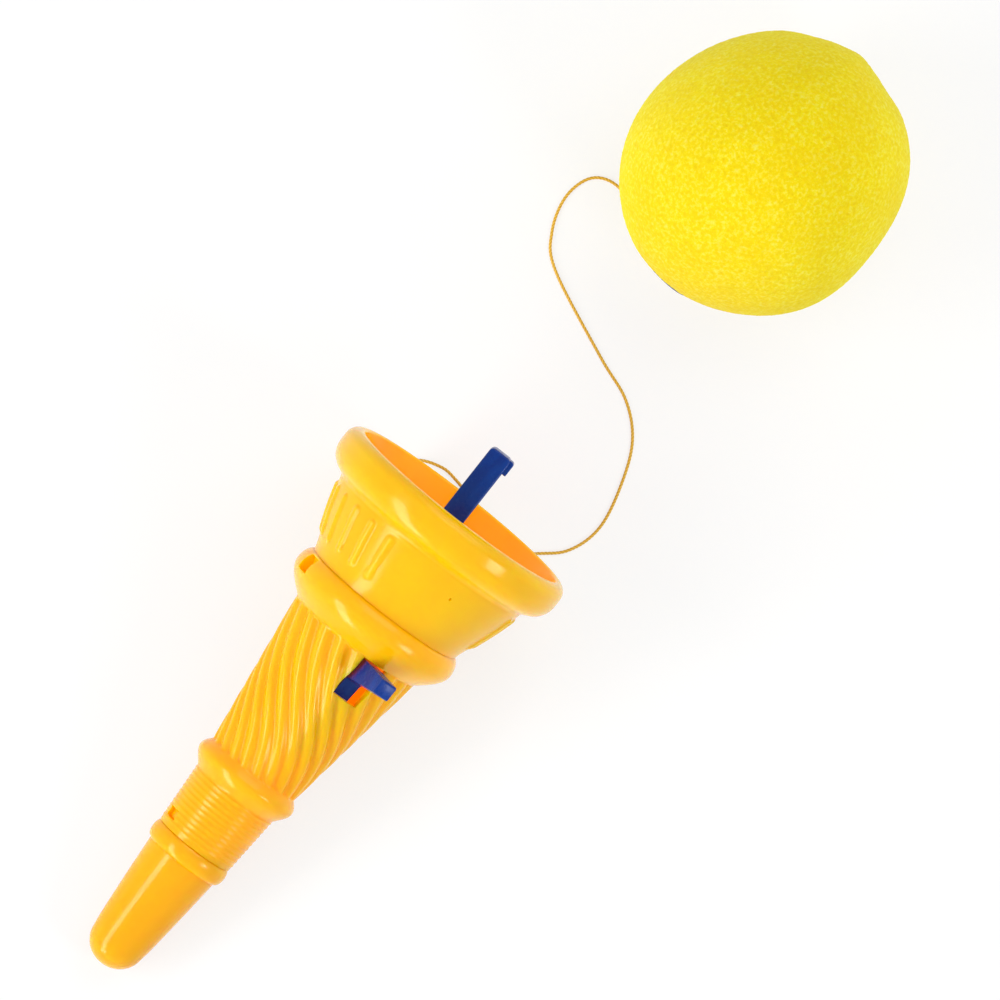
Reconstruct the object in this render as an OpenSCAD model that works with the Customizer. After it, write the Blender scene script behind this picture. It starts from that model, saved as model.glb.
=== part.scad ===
// Ball shooter toy: a cone-shaped launcher with a flared cup, a sprung plunger,
// a trigger in the wall of the cone, and a foam ball on a string.
// Millimetres, +Z up. The toy lies on a table: the cone rests on its round nose
// and on its rim, the mouth looks along +X, and the ball lies in front of it.
// The origin is on the table, under the middle of the toy's outer box.
// Stations along the barrel are measured from the end of the nose.

/* [Nose cap] */
// Radius of the round tip
nose_tip_r = 8.85; // [7:0.05:10]
// Length from the tip to the band
nose_len = 40.2; // [30:0.1:55]
// Radius where the nose meets the band
nose_end_r = 12.05; // [11.4:0.05:12.8]
// Radius of the band behind the nose
nose_band_r = 13.8; // [13.4:0.05:15]
// Width of that band
nose_band_w = 5.9; // [4:0.1:8]
// Wall of the nose cap
nose_wall = 2; // [1.4:0.1:2.6]
// Length of the spigot inside the grip
spigot_len = 9; // [8:0.1:12]

/* [Grip and ring] */
// Radius of the grip at the nose end
grip_r = 12.9; // [12.5:0.05:13.3]
// Radius of the grip at the ring
grip_end_r = 14.2; // [13.6:0.05:14.8]
// Length of the grip
grip_len = 20.4; // [17:0.1:30]
// Number of fine ribs round the grip
grip_ribs = 11; // [6:1:14]
// Height of a fine rib
grip_rib_h = 0.35; // [0.2:0.05:0.6]
// Radius of the ring between the grip and the spiral
ring_r = 17.3; // [16:0.05:19]
// Width of that ring
ring_w = 8.3; // [6:0.1:11]

/* [Spiral cone] */
// Radius of the spiral part at the ring
spiral_r = 15.4; // [14.8:0.05:16]
// Radius of the spiral part at the collar
spiral_end_r = 22.3; // [21.8:0.05:23]
// Length of the spiral part
spiral_len = 49.9; // [47:0.1:60]
// Number of flutes
flutes = 20; // [16:1:28]
// Depth of a flute at the ring
flute_depth = 0.8; // [0.4:0.05:1]
// Turn of a flute over its length, in degrees
flute_twist = 88; // [20:1:95]
// Wall of the cone
body_wall = 2; // [1.6:0.05:2.2]

/* [Collar] */
// Largest radius of the collar
collar_r = 29.1; // [28.6:0.05:31]
// Height of the collar
collar_len = 12.5; // [11.5:0.1:15]
// Inner radius of the collar's lip
lip_in_r = 27.2; // [26.6:0.05:27.4]
// Thickness at the end of the rounded lip
lip_t = 0.4; // [0.2:0.05:0.8]
// Height of the ledge that carries the cup, above the spiral part
ledge_h = 4.3; // [3.8:0.1:5.2]

/* [Cup] */
// Radius of the cup's foot
foot_r = 24.3; // [23.4:0.05:24.6]
// Height of the foot
foot_h = 2; // [1:0.1:3]
// Radius of the cup at the collar's lip
waist_r = 25.8; // [25:0.05:26.2]
// Radius of the neck below the rim
neck_r = 34; // [32:0.05:34.2]
// Radius of the circle along the middle of the rolled rim
mouth_r = 34.4; // [34.2:0.05:36]
// Radius of the roll
rim_roll_r = 6.3; // [5:0.05:7]
// Height of the roll below its middle
rim_drop = 7.6; // [7:0.1:9]
// Rounding of the rim's outer edge at the mouth
rim_round = 3.8; // [3:0.1:4.6]
// Height of the cup from its foot to its crest
cup_h = 45.1; // [42:0.1:52]
// Wall of the cup
cup_wall = 2; // [1.5:0.05:2.4]
// Thickness of the cup's floor
cup_floor_t = 2.4; // [1.6:0.1:3]
// Rounding of the mouth's inner edge
mouth_round = 0.8; // [0.5:0.1:1.2]
// Raised bars in each of the two groups on the cup
bars = 7; // [3:1:9]
// Angle from one bar to the next, in degrees
bar_step = 14; // [10:1:16]
// Radius of a raised bar
bar_r = 1.7; // [1:0.05:2]
// Length of a raised bar between its round ends
bar_len = 11; // [6:0.5:13]
// How far a bar stands out of the wall
bar_out = 0.8; // [0.4:0.05:1]

/* [Guide tube] */
// Radius of the tube's main bore
tube_bore_r = 6.5; // [6.3:0.05:6.8]
// Wall of the tube
tube_wall = 1.7; // [1.2:0.05:1.8]
// Length of the narrow bore that guides and stops the plunger
guide_len = 18; // [16:0.5:19]
// Thickness of the tube's flange
flange_t = 1.6; // [1:0.1:2.4]
// Thickness of the plug's disc behind the tube
plug_t = 2; // [1:0.1:3]
// Length of the plug inside the tube
plug_in = 4.9; // [3:0.1:5.5]

/* [Plunger] */
// Radius of the round rod
rod_r = 5; // [4.8:0.05:5.1]
// Width and thickness of the flat bar at the front
bar_w = 7.4; // [6.4:0.1:7.6]
// Length of the flat bar
bar_front_len = 38.2; // [34:0.1:42]
// Length of the whole plunger ahead of its head
rod_len = 83.6; // [80:0.1:88]
// Thickness of the plunger's head
head_t = 4; // [3:0.1:5]
// How far the plunger is pushed in to latch
travel = 30; // [24:0.5:31]
// Length of the peg inside the spring
peg_len = 8; // [4:0.5:9]
// Radius of the peg
peg_r = 3.6; // [2.5:0.1:3.8]
// Width of the groove that the catch drops into
groove_w = 4; // [3.6:0.1:5]
// Depth of the groove
groove_depth = 1.5; // [1:0.1:2]
// How far the hook at the tip stands out
hook_out = 1.2; // [0.6:0.1:1.3]
// Length of the hook
hook_len = 5; // [3:0.1:7]
// Width of the hook
hook_w = 5; // [3:0.1:5.4]
// Rounding of the tip's corners
tip_round = 1.5; // [0.8:0.1:2]

/* [Main spring] */
// Wire of the main spring
spring_wire = 0.9; // [0.6:0.05:1.1]
// Number of curls
spring_curls = 12; // [8:1:14]

/* [Trigger] */
// Angle of the trigger from straight up, in degrees
trigger_turn = 26; // [10:1:40]
// Width of the lever
lever_w = 5.6; // [4.6:0.1:5.8]
// Distance of the pin from the barrel's axis
pivot_out = 12.3; // [12.1:0.05:12.4]
// Distance of the pin from the window's nearer end
pivot_back = 8.9; // [8.4:0.1:9.4]
// Radius of the pin
pin_r = 1.1; // [0.9:0.05:1.3]
// Radius of the lever's eye round the pin
eye_r = 2.5; // [2.2:0.05:2.7]
// Length of the window
window_len = 14.4; // [13.8:0.1:15]
// Width of the window
window_w = 9.2; // [7.4:0.1:10]
// Wall left between the window and the collar
window_gap = 0.4; // [0.2:0.05:0.6]
// Distance from the barrel's axis to the end of the blade
blade_out = 37.1; // [32:0.1:40]
// Thickness of the blade at its end
blade_end_t = 5; // [4:0.1:5.6]
// Thickness of the blade at its root
blade_root_t = 7.3; // [6:0.1:8]
// Thickness of the catch
catch_t = 2.8; // [2:0.1:3]
// Length of the tail on the spring's side of the pin
tail_len = 12.5; // [11.5:0.1:13.5]
// Angle that the trigger is pulled, in degrees
trigger_pull = 6; // [4:0.5:6.5]
// Thickness of the two ears that carry the pin
ear_t = 2; // [1.4:0.1:2.2]
// Radius of the ears round the pin
ear_r = 2.4; // [2.1:0.05:2.5]
// Wire of the trigger's spring
trigger_wire = 0.5; // [0.4:0.05:0.5]
// Number of curls of the trigger's spring
trigger_curls = 3; // [2:1:3]
// Mean radius of the trigger's spring
trigger_coil_r = 1.6; // [1.3:0.05:1.7]

/* [Ball] */
// Radius of the foam ball
ball_r = 43.2; // [36:0.1:46]
// Distance along X from the middle of the nose's tip to the ball's middle
ball_ahead = 298.8; // [292:0.1:310]
// Sideways distance from the barrel's axis to the ball's middle
ball_aside = -9.5; // [-20:0.1:10]

/* [Ball socket] */
// Radius of the socket's bore
socket_bore_r = 6.2; // [6:0.05:6.4]
// Wall of the socket
socket_wall = 1; // [0.8:0.05:1.2]
// Depth of the bore
socket_depth = 13; // [9:0.5:20]
// Thickness of the socket's end wall
socket_end_t = 1.6; // [1:0.1:3]
// Radius of the socket's flange
socket_flange_r = 10; // [9.8:0.05:11]
// Thickness of the flange
socket_flange_t = 1.5; // [1:0.1:2.4]
// Dip of the socket's axis below level, in degrees
socket_dip = 17.5; // [10:0.5:24]
// Turn of the socket's axis to +Y, in degrees
socket_aside = 7.3; // [-10:0.1:15]

/* [String] */
// Thickness of the string
string_d = 1; // [0.8:0.05:1.2]
// Radius of a knot
knot_r = 1.3; // [1.1:0.05:1.4]
// Length of a knot
knot_len = 2.4; // [2:0.1:3]
// Distance from the barrel's axis to the string's hole in the cup
string_hole_out = 16; // [14:0.1:16.4]

/* [Hidden] */
$fn = 96;

// Clearances: running parts, snug seats, pin in its ears, face against face
run_gap = 0.3;
snug_gap = 0.15;
pin_gap = 0.05;
face_gap = 0.1;
// Extra length that lets a cut run past a face
over = 1;
// Number of steps in a rounded edge of an outline
arc_steps = 8;

// Colours
yellow = [1, 0.76, 0];
amber = [1, 0.68, 0];
blue = [0.07, 0.17, 0.5];
lemon = [0.96, 0.88, 0.1];
gold = [0.85, 0.65, 0.1];
steel = [0.7, 0.71, 0.74];

// Stations along the barrel
band_s = nose_len;
grip_s = band_s + nose_band_w;
ring_s = grip_s + grip_len;
spiral_s = ring_s + ring_w;
collar_s = spiral_s + spiral_len;
lip_s = collar_s + collar_len;
ledge_s = collar_s + ledge_h;
cup_s = ledge_s + flange_t;
floor_s = cup_s + cup_floor_t;
crest_s = cup_s + cup_h;
rim_s = crest_s - rim_roll_r;
neck_step = 0.9;
floor_round = 1.2;
neck_s = rim_s - rim_drop - neck_step;

// Outline of a fine rib, as shares of the pitch: where it starts, its crest from and to, its end
rib_start = 0.75;
rib_crest = 0.2;
rib_crest_end = 0.5;
rib_end = 0.7;
// Where the collar is widest, and where a raised bar sits, as shares of the height
collar_belly = 0.71;
bar_middle = 0.5;
// How far the spiral part runs into the ring and into the collar
spiral_sunk = 0.6;
// Layers of the twisted spiral part
spiral_slices = 12;

// Inside of the cone: the hollow follows the outside, below the ribs and the flutes
flute_end_depth = flute_depth * spiral_end_r / spiral_r;
grip_in_r = grip_r - grip_rib_h - body_wall;
grip_in_end_r = grip_end_r - grip_rib_h - body_wall;
spiral_in_r = spiral_r - flute_depth - body_wall;
spiral_in_end_r = spiral_end_r - flute_end_depth - body_wall;
collar_in_r = spiral_in_end_r + 0.4;
ledge_r = foot_r + snug_gap;
ledge_wall_h = 3.5;

// Nose cap: the spigot, the step behind the round tip and the band's rounded edges
spigot_gap = 0.3;
spigot_r = grip_in_r - spigot_gap;
spigot_wall = 1.8;
tip_step = 0.35;
tip_step_len = 1.5;
band_edge = 0.9;

// Catches of the nose cap and the slots in the grip that they snap into
snap_turns = [-57, 123];
snap_in = 4.2;
snap_s = grip_s + snap_in;
snap_w = 5;
snap_len = 3.2;
snap_out = 1.3;

// Guide tube
tube_r = tube_bore_r + tube_wall;
bore_gap = 0.1;
guide_bore_r = rod_r + run_gap + bore_gap;
stop_s = cup_s - guide_len;
plug_s = grip_s + spigot_len;
tube_s = plug_s + plug_t;
plug_r = grip_in_r - 0.9;

// Plunger
head_r = tube_bore_r - run_gap;
head_s = stop_s - 0.2;
tip_s = head_s + rod_len;
bar_s = tip_s - bar_front_len;

// Main spring
coil_r = (tube_bore_r + peg_r + spring_wire / 2) / 2;
spring_from = tube_s + plug_in + face_gap;
spring_to = head_s - head_t - face_gap;

// Trigger: the leg lies under the cone's wall, and its catch reaches through the tube
window_to = collar_s - window_gap;
window_from = window_to - window_len;
pivot_s = window_from - pivot_back;
blade_gap = 0.7;
blade_s = window_to - blade_gap;
blade_lean = 0.4;
blade_round = 0.8;
leg_low = 1.2;
leg_high = 3.5;
leg_rise = 1.8;
leg_in_r = pivot_out + leg_low;
leg_out_r = pivot_out + leg_high;
catch_back = 4.5;
catch_s = window_to - catch_back;
catch_r = rod_r + run_gap;
groove_s = catch_s + travel;
slot_before = 1.1;
slot_after = 1.4;
tail_in_r = tube_r + 2;
tail_out_r = pivot_out + 0.7;
ear_gap = 0.3;
pin_end = 0.2;

// Trigger's spring, in a pocket in the tail
pocket_gap = 0.7;
pocket_wall = 0.7;
pocket_end_t = 1;
spring_pocket_r = trigger_coil_r + pocket_gap;
spring_pocket_s = pivot_s - tail_len + spring_pocket_r + pocket_wall;
pocket_end_r = tail_out_r - pocket_end_t;

// Ball, its socket, and the holes for the string
ball_z = ball_r;
socket_proud = 0.2;
socket_face = ball_r + socket_proud;
socket_r = socket_bore_r + socket_wall;
string_hole_r = string_d / 2 + 0.2;
socket_hole_out = socket_r + knot_r + face_gap;
knot_pocket_r = knot_r + run_gap;
flange_hole_r = knot_r + 0.9;
knot_waist = 0.45;

// Resting pose: the tilt at which the nose and the rim both touch the table
rim_out_r = mouth_r + rim_roll_r;
function rest_tilt(roll) = atan2(mouth_r, rim_s - nose_tip_r)
    + asin((roll - nose_tip_r) / norm([mouth_r, rim_s - nose_tip_r]));
first_tilt = rest_tilt(rim_roll_r);
tilt = rest_tilt(norm([rim_roll_r * cos(first_tilt), rim_drop * sin(first_tilt)]));

// Origin under the middle of the outer box
nose_x = nose_tip_r - (nose_tip_r + ball_ahead + ball_r) / 2;
side_low = min(-rim_out_r, ball_aside - ball_r);
side_high = max(rim_out_r, ball_aside + ball_r);
axis_y = -(side_low + side_high) / 2;
ball_x = nose_x + ball_ahead;
ball_y = axis_y + ball_aside;

// Points of the string: out of the cup's floor, over the rim, along the table and up to the ball
string_route = [
    [-44.5, 6, 16.8], [-41.2, 6, 17.4], [-38.3, 6.1, 17.2], [-35.6, 6.2, 13.6], [-32.4, 6.3, 10.8],
    [-27.9, 6.4, 9.7], [-19.5, 6.5, 8.3], [-11.3, 6.6, 7.8], [-4.4, 6.8, 7.1], [0.8, 7, 6.65],
    [3.5, 7.1, 6.45], [4.75, 7.2, 5.8], [5.05, 7.5, 4.4], [5.35, 8.6, 1.6], [6.2, 12, 0.5],
    [6.6, 17.5, 0.5], [3.8, 24.8, 0.5], [-3, 30.2, 0.5], [-12, 28.2, 0.5], [-17, 17, 0.5],
    [-12, -1, 0.5], [3.3, -20, 0.5], [11, -27.8, 0.5], [22, -30.7, 0.5], [36, -27.8, 0.5],
    [48.5, -22.3, 0.5], [57, -13, 0.5], [62.5, 1, 0.5], [74.4, 27.4, 0.5], [83, 35.6, 0.5],
    [94, 38.9, 0.5], [103, 36.5, 0.5], [106.2, 29.5, 0.5], [103.5, 19, 0.5], [97.5, 8, 0.5],
    [94.2, 4, 1.6], [92.9, 2.6, 5], [91.8, 2, 14], [91.6, 1.7, 20.4], [94.9, 1.3, 22.4]];
// Rings on each span of the string
string_rings = 2;
// Sides of the string and of a spring's wire
string_sides = 8;
wire_sides = 6;
curl_rings = 8;

// Places things made along the barrel: their Z is the barrel's axis, their X points up
module along_barrel()
    translate([nose_x, axis_y, nose_tip_r])
        rotate([0, 90 - tilt, 0]) rotate([0, 0, 180])
            translate([0, 0, -nose_tip_r]) children();

// Places things in the trigger's own plane: X points out of the cone
module at_trigger() along_barrel() rotate([0, 0, trigger_turn]) children();

// Places things on the socket's axis: Z leaves the ball
module at_socket()
    translate([ball_x, ball_y, ball_z])
        rotate([0, 0, 180 - socket_aside]) rotate([0, 90 + socket_dip, 0]) rotate([0, 0, 180]) children();

// Turns a plane outline, drawn as radius and station, into a lever of width w
module side_plate(w) rotate([90, 0, 0]) translate([0, 0, -w / 2]) linear_extrude(w) children();

// Points of an arc round a middle point
function arc(middle, rx, ry, from, to, steps = arc_steps) =
    [for (i = [0:steps]) let (a = from + (to - from) * i / steps)
        [middle[0] + rx * cos(a), middle[1] + ry * sin(a)]];

function unit(v) = v / norm(v);

// Directions along a row of points
function directions(p) = [for (i = [0:len(p) - 1])
    unit(p[min(i + 1, len(p) - 1)] - p[max(i - 1, 0)])];

// Side vectors carried along a row of directions without twist
function sides_of(t) =
    let (first = unit(cross(t[0], abs(t[0][2]) < 0.8 ? [0, 0, 1] : [1, 0, 0])))
    [for (i = 0, n = first; i < len(t);
          i = i + 1, n = i < len(t) ? unit(n - (n * t[i]) * t[i]) : n) n];

// Smooth points through a route, with so many new points on each span
function smooth(p, count) = concat(
    [for (i = [0:len(p) - 2], j = [0:count - 1])
        let (a = p[max(i - 1, 0)], b = p[i], c = p[i + 1], d = p[min(i + 2, len(p) - 1)], u = j / count)
        ((2 * b) + (c - a) * u + (2 * a - 5 * b + 4 * c - d) * u * u
            + (3 * b - a - 3 * c + d) * u * u * u) / 2],
    [p[len(p) - 1]]);

// A solid tube along points, with flat ends
module tube_along(p, r, count) {
    t = directions(p);
    n = sides_of(t);
    rings = len(p);
    points = concat(
        [for (i = [0:rings - 1], k = [0:count - 1]) let (a = 360 * k / count)
            p[i] + r * (cos(a) * n[i] + sin(a) * cross(t[i], n[i]))],
        [p[0], p[rings - 1]]);
    walls = [for (i = [0:rings - 2], k = [0:count - 1])
        let (a = i * count + k, b = i * count + (k + 1) % count)
        each [[a, a + count, b], [b, a + count, b + count]]];
    near = [for (k = [0:count - 1]) [k, (k + 1) % count, rings * count]];
    last = (rings - 1) * count;
    far = [for (k = [0:count - 1]) [last + (k + 1) % count, last + k, rings * count + 1]];
    polyhedron(points = points, faces = concat(walls, near, far));
}

// Points of a coil round Z that starts at height from and ends at height to
function coil(r, from, to, curls, wire) =
    let (low = from + wire / 2, high = to - wire / 2, steps = curls * curl_rings)
    [for (i = [0:steps]) let (a = 360 * i / curl_rings)
        [r * cos(a), r * sin(a), low + (high - low) * i / steps]];

// Least gap of a coil to itself, from points at least half a turn apart
function least_gap(p, wire) = min([for (i = [0:len(p) - 1], j = [i + curl_rings / 2:len(p) - 1])
    norm(p[i] - p[j])]) - wire;

// Outline of the cup's wall between its waist and its neck
function cup_wall_r(u) = waist_r + (neck_r - waist_r) * (u + sin(90 * u)) / 2;
cup_curve = [for (i = [0:arc_steps]) let (u = i / arc_steps)
    [cup_wall_r(u), lip_s + (neck_s - lip_s) * u]];

// The cup with its rolled rim, as radius and station
module cup_outline() {
    edge_r = rim_out_r - rim_round;
    mouth_in = edge_r - mouth_round;
    outer = concat([[rod_r + run_gap, cup_s], [foot_r, cup_s], [foot_r, cup_s + foot_h]], cup_curve,
        arc([mouth_r, rim_s], rim_roll_r, rim_drop, -90, 0),
        arc([edge_r, crest_s - rim_round], rim_round, rim_round, 0, 90));
    inner = concat(arc([edge_r, crest_s - mouth_round], mouth_round, mouth_round, 90, 180, 4),
        [for (i = [arc_steps:-1:0]) [min(cup_curve[i][0] - cup_wall, mouth_in), cup_curve[i][1]]],
        [[foot_r - cup_wall, floor_s + floor_round], [foot_r - cup_wall - floor_round, floor_s],
         [rod_r + run_gap, floor_s]]);
    polygon(concat(outer, inner));
}

// One raised bar, sunk in the cup's wall along its slope
module cup_bar() {
    near = bar_middle - 0.25;
    far = bar_middle + 0.25;
    slope = atan2(cup_wall_r(far) - cup_wall_r(near), (neck_s - lip_s) * (far - near));
    translate([cup_wall_r(bar_middle) + bar_out - bar_r, 0, lip_s + (neck_s - lip_s) * bar_middle])
        rotate([0, slope, 0]) {
            cylinder(r = bar_r, h = bar_len, center = true, $fn = 32);
            for (end = [-1, 1]) translate([0, 0, end * bar_len / 2]) sphere(r = bar_r, $fn = 32);
        }
}

module cup() color(yellow) along_barrel() difference() {
    union() {
        rotate_extrude() cup_outline();
        for (side = [-60, 120], i = [0:bars - 1])
            rotate([0, 0, side + (i - (bars - 1) / 2) * bar_step]) cup_bar();
    }
    translate([-string_hole_out, 0, cup_s - over])
        cylinder(r = string_hole_r, h = cup_floor_t + 2 * over, $fn = 24);
}

// Outer outline of the grip, with its fine ribs, and of the ring after it
module grip_outline() {
    pitch = grip_len / (grip_ribs + 1);
    function radius(s) = grip_r + (grip_end_r - grip_r) * (s - grip_s) / grip_len;
    ribs = [for (i = [0:grip_ribs - 1]) let (s = grip_s + (i + rib_start) * pitch)
        each [[radius(s), s], [radius(s) + grip_rib_h, s + pitch * rib_crest],
              [radius(s) + grip_rib_h, s + pitch * rib_crest_end], [radius(s), s + pitch * rib_end]]];
    ring = [for (i = [0:2 * arc_steps]) let (u = i / (2 * arc_steps))
        [grip_end_r + (spiral_r - grip_end_r) * u
            + (ring_r - (grip_end_r + spiral_r) / 2) * sin(180 * u), ring_s + ring_w * u]];
    polygon(concat([[0, grip_s], [grip_r, grip_s]], ribs, ring, [[0, spiral_s]]));
}

// Outer outline of the collar, from the spiral part to the lip
module collar_outline() {
    belly = collar_len * collar_belly;
    below = [for (i = [0:arc_steps]) let (u = i / arc_steps)
        [spiral_end_r + (collar_r - spiral_end_r) * sin(90 * u), collar_s + belly * u]];
    above = arc([lip_in_r + lip_t, collar_s + belly],
        collar_r - lip_in_r - lip_t, collar_len - belly, 0, 90);
    polygon(concat([[0, collar_s]], below, above, [[0, lip_s]]));
}

// The hollow of the cone, from the grip to the lip
module hollow_outline() polygon([
    [0, grip_s - over], [grip_in_r, grip_s - over], [grip_in_r, grip_s],
    [grip_in_end_r, ring_s], [spiral_in_r, spiral_s], [spiral_in_end_r, collar_s],
    [collar_in_r, collar_s + 1], [collar_in_r, ledge_s], [ledge_r, ledge_s],
    [ledge_r, ledge_s + ledge_wall_h], [lip_in_r, lip_s], [lip_in_r, lip_s + over], [0, lip_s + over]]);

// The spiral part: a tapered, twisted solid with flutes
module flute_solid() {
    outline = [for (i = [0:4 * flutes - 1])
        let (a = 90 * i / flutes, r = spiral_r - flute_depth * (1 - cos(90 * i)) / 2)
        [r * cos(a), r * sin(a)]];
    translate([0, 0, spiral_s - spiral_sunk])
        linear_extrude(spiral_len + 2 * spiral_sunk, twist = flute_twist,
                       scale = spiral_end_r / spiral_r, slices = spiral_slices)
            polygon(outline);
}

module cone_body() color(yellow) along_barrel() difference() {
    union() {
        rotate_extrude() grip_outline();
        flute_solid();
        rotate_extrude() collar_outline();
    }
    rotate_extrude() hollow_outline();
    rotate([0, 0, trigger_turn]) translate([spiral_in_r, -window_w / 2, window_from])
        cube([spiral_end_r, window_w, window_len]);
    for (turn = snap_turns) rotate([0, 0, turn])
        translate([grip_in_r - over, -snap_w / 2, snap_s - snap_len / 2])
            cube([grip_end_r, snap_w, snap_len]);
}

// Outline of the nose cap: round tip, taper, band and spigot
module nose_outline() {
    spigot_in_r = spigot_r - spigot_wall;
    dome = arc([0, nose_tip_r], nose_tip_r, nose_tip_r, -90, 0, 2 * arc_steps);
    band = [[nose_end_r, band_s], [nose_band_r - band_edge / 4, band_s + band_edge],
        [nose_band_r, band_s + 2 * band_edge], [nose_band_r, grip_s - band_edge],
        [nose_band_r - band_edge / 2, grip_s - band_edge / 3], [nose_band_r - band_edge, grip_s]];
    hollow = arc([0, nose_tip_r], nose_tip_r - nose_wall, nose_tip_r - nose_wall, 0, -90);
    polygon(concat(dome, [[nose_tip_r + tip_step, nose_tip_r + tip_step_len]], band,
        [[spigot_r, grip_s], [spigot_r, plug_s], [spigot_in_r, plug_s], [spigot_in_r, band_s]], hollow));
}

module nose_cap() color(amber) along_barrel() union() {
    rotate_extrude() nose_outline();
    for (turn = snap_turns) rotate([0, 0, turn])
        translate([spigot_r - snap_out, -snap_w / 2 + run_gap, snap_s - snap_len / 2 + run_gap])
            cube([2 * snap_out + spigot_gap, snap_w - 2 * run_gap, snap_len - 2 * run_gap]);
}

// The ears are drawn in the trigger's plane
module ears() for (side = [-1, 1])
    translate([0, side * (lever_w / 2 + ear_gap + ear_t / 2), 0]) side_plate(ear_t) {
        translate([pivot_out, pivot_s]) circle(r = ear_r);
        translate([tube_r - over, pivot_s - ear_r]) square([pivot_out - tube_r + over, 2 * ear_r]);
    }

module guide_tube() color(yellow) at_trigger() difference() {
    union() {
        translate([0, 0, tube_s]) cylinder(r = tube_r, h = ledge_s - tube_s + flange_t / 2);
        translate([0, 0, ledge_s]) cylinder(r = foot_r, h = flange_t);
        ears();
    }
    translate([0, 0, tube_s - over]) cylinder(r = tube_bore_r, h = stop_s - tube_s + over);
    translate([0, 0, stop_s - over]) cylinder(r = guide_bore_r, h = guide_len + 2 * over);
    translate([catch_r - over, -lever_w / 2 - run_gap, catch_s - catch_t / 2 - slot_before])
        cube([tube_r, lever_w + 2 * run_gap, catch_t + slot_before + slot_after]);
    translate([pivot_out, 0, pivot_s]) rotate([90, 0, 0])
        cylinder(r = pin_r + pin_gap, h = 4 * lever_w, center = true);
    rotate([0, 0, 180 - trigger_turn]) translate([string_hole_out, 0, ledge_s - over])
        cylinder(r = flange_hole_r, h = flange_t + 2 * over, $fn = 48);
}

module tube_plug() color(yellow) along_barrel() {
    translate([0, 0, plug_s]) cylinder(r = plug_r, h = plug_t);
    translate([0, 0, plug_s + plug_t - over]) cylinder(r = tube_bore_r - snug_gap, h = plug_in + over);
}

// The front bar's face as seen from above: a rounded tip with a small hook on one side
module bar_face() {
    half = bar_w / 2;
    translate([-half, bar_s - over]) square([bar_w, bar_front_len + over - tip_round]);
    translate([-half + tip_round, bar_s]) square([bar_w - 2 * tip_round, bar_front_len]);
    for (side = [-1, 1]) translate([side * (half - tip_round), tip_s - tip_round]) circle(r = tip_round);
}

module hook_face() {
    from = bar_w / 2 - tip_round;
    to = bar_w / 2 + hook_out;
    translate([from, tip_s - hook_len]) square([to - from, hook_len - tip_round]);
    translate([from, tip_s - hook_len]) square([to - from - tip_round, hook_len]);
    translate([to - tip_round, tip_s - tip_round]) circle(r = tip_round);
}

// Extrudes a face drawn across Y and Z to a thickness along X
module across(thickness)
    rotate([90, 0, 90]) translate([0, 0, -thickness / 2]) linear_extrude(thickness) children();

module plunger() color(blue) along_barrel() {
    difference() {
        union() {
            translate([0, 0, head_s - head_t - peg_len]) cylinder(r = peg_r, h = peg_len + head_t / 2);
            translate([0, 0, head_s - head_t]) cylinder(r = head_r, h = head_t);
            translate([0, 0, head_s - head_t / 2]) cylinder(r = rod_r, h = bar_s - head_s + head_t / 2);
        }
        translate([0, 0, groove_s - groove_w / 2]) difference() {
            cylinder(r = rod_r + over, h = groove_w);
            translate([0, 0, -over]) cylinder(r = rod_r - groove_depth, h = groove_w + 2 * over);
        }
    }
    intersection() {
        across(bar_w) bar_face();
        translate([0, 0, bar_s - over]) cylinder(r = rod_r, h = bar_front_len + 2 * over);
    }
    across(hook_w) hook_face();
}

main_coil = coil(coil_r, spring_from, spring_to, spring_curls, spring_wire);
module main_spring() color(steel) along_barrel() tube_along(main_coil, spring_wire / 2, wire_sides);

// The lever in the trigger's plane: tail, leg under the wall, catch and blade
module lever_face() {
    tail_join = eye_r * [cos(35), sin(35)];
    blade_low = blade_s - blade_root_t;
    end_low = blade_s + blade_lean - blade_end_t;
    end_high = blade_s + blade_lean;
    end_r = blade_out - blade_round;
    difference() {
        union() {
            translate([pivot_out, pivot_s]) circle(r = eye_r);
            polygon([[tail_in_r, pivot_s - tail_len], [tail_out_r, pivot_s - tail_len],
                [pivot_out + tail_join[0], pivot_s - tail_join[1]], [pivot_out + eye_r, pivot_s + eye_r],
                [leg_out_r, window_from], [leg_out_r + leg_rise / 2, blade_low],
                [end_r, end_low], [end_r, end_high], [leg_out_r + leg_rise, blade_s],
                [leg_in_r, blade_s], [leg_in_r, catch_s + catch_t / 2],
                [catch_r, catch_s + catch_t / 2], [catch_r, catch_s - catch_t / 2],
                [leg_in_r, catch_s - catch_t / 2], [leg_in_r - blade_lean, window_from],
                [pivot_out - tail_join[0], pivot_s + tail_join[1]], [tail_in_r, pivot_s]]);
            translate([end_r - blade_round, end_low + blade_round])
                square([2 * blade_round, blade_end_t - 2 * blade_round]);
            for (z = [end_low + blade_round, end_high - blade_round])
                translate([end_r, z]) circle(r = blade_round, $fn = 32);
        }
        translate([pivot_out, pivot_s]) circle(r = pin_r + pin_gap);
    }
}

module trigger() color(blue) at_trigger() difference() {
    side_plate(lever_w) lever_face();
    translate([tail_in_r - over, 0, spring_pocket_s]) rotate([0, 90, 0])
        cylinder(r = spring_pocket_r, h = pocket_end_r - tail_in_r + over, $fn = 32);
}

module trigger_pin() color(steel) at_trigger()
    translate([pivot_out, 0, pivot_s]) rotate([90, 0, 0])
        cylinder(r = pin_r, h = lever_w + 2 * (ear_gap + ear_t + pin_end), center = true);

small_coil = coil(trigger_coil_r, tube_r + face_gap, pocket_end_r - face_gap, trigger_curls, trigger_wire);
module trigger_spring() color(steel) at_trigger()
    translate([0, 0, spring_pocket_s]) rotate([0, 90, 0])
        tube_along(small_coil, trigger_wire / 2, wire_sides);

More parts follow.
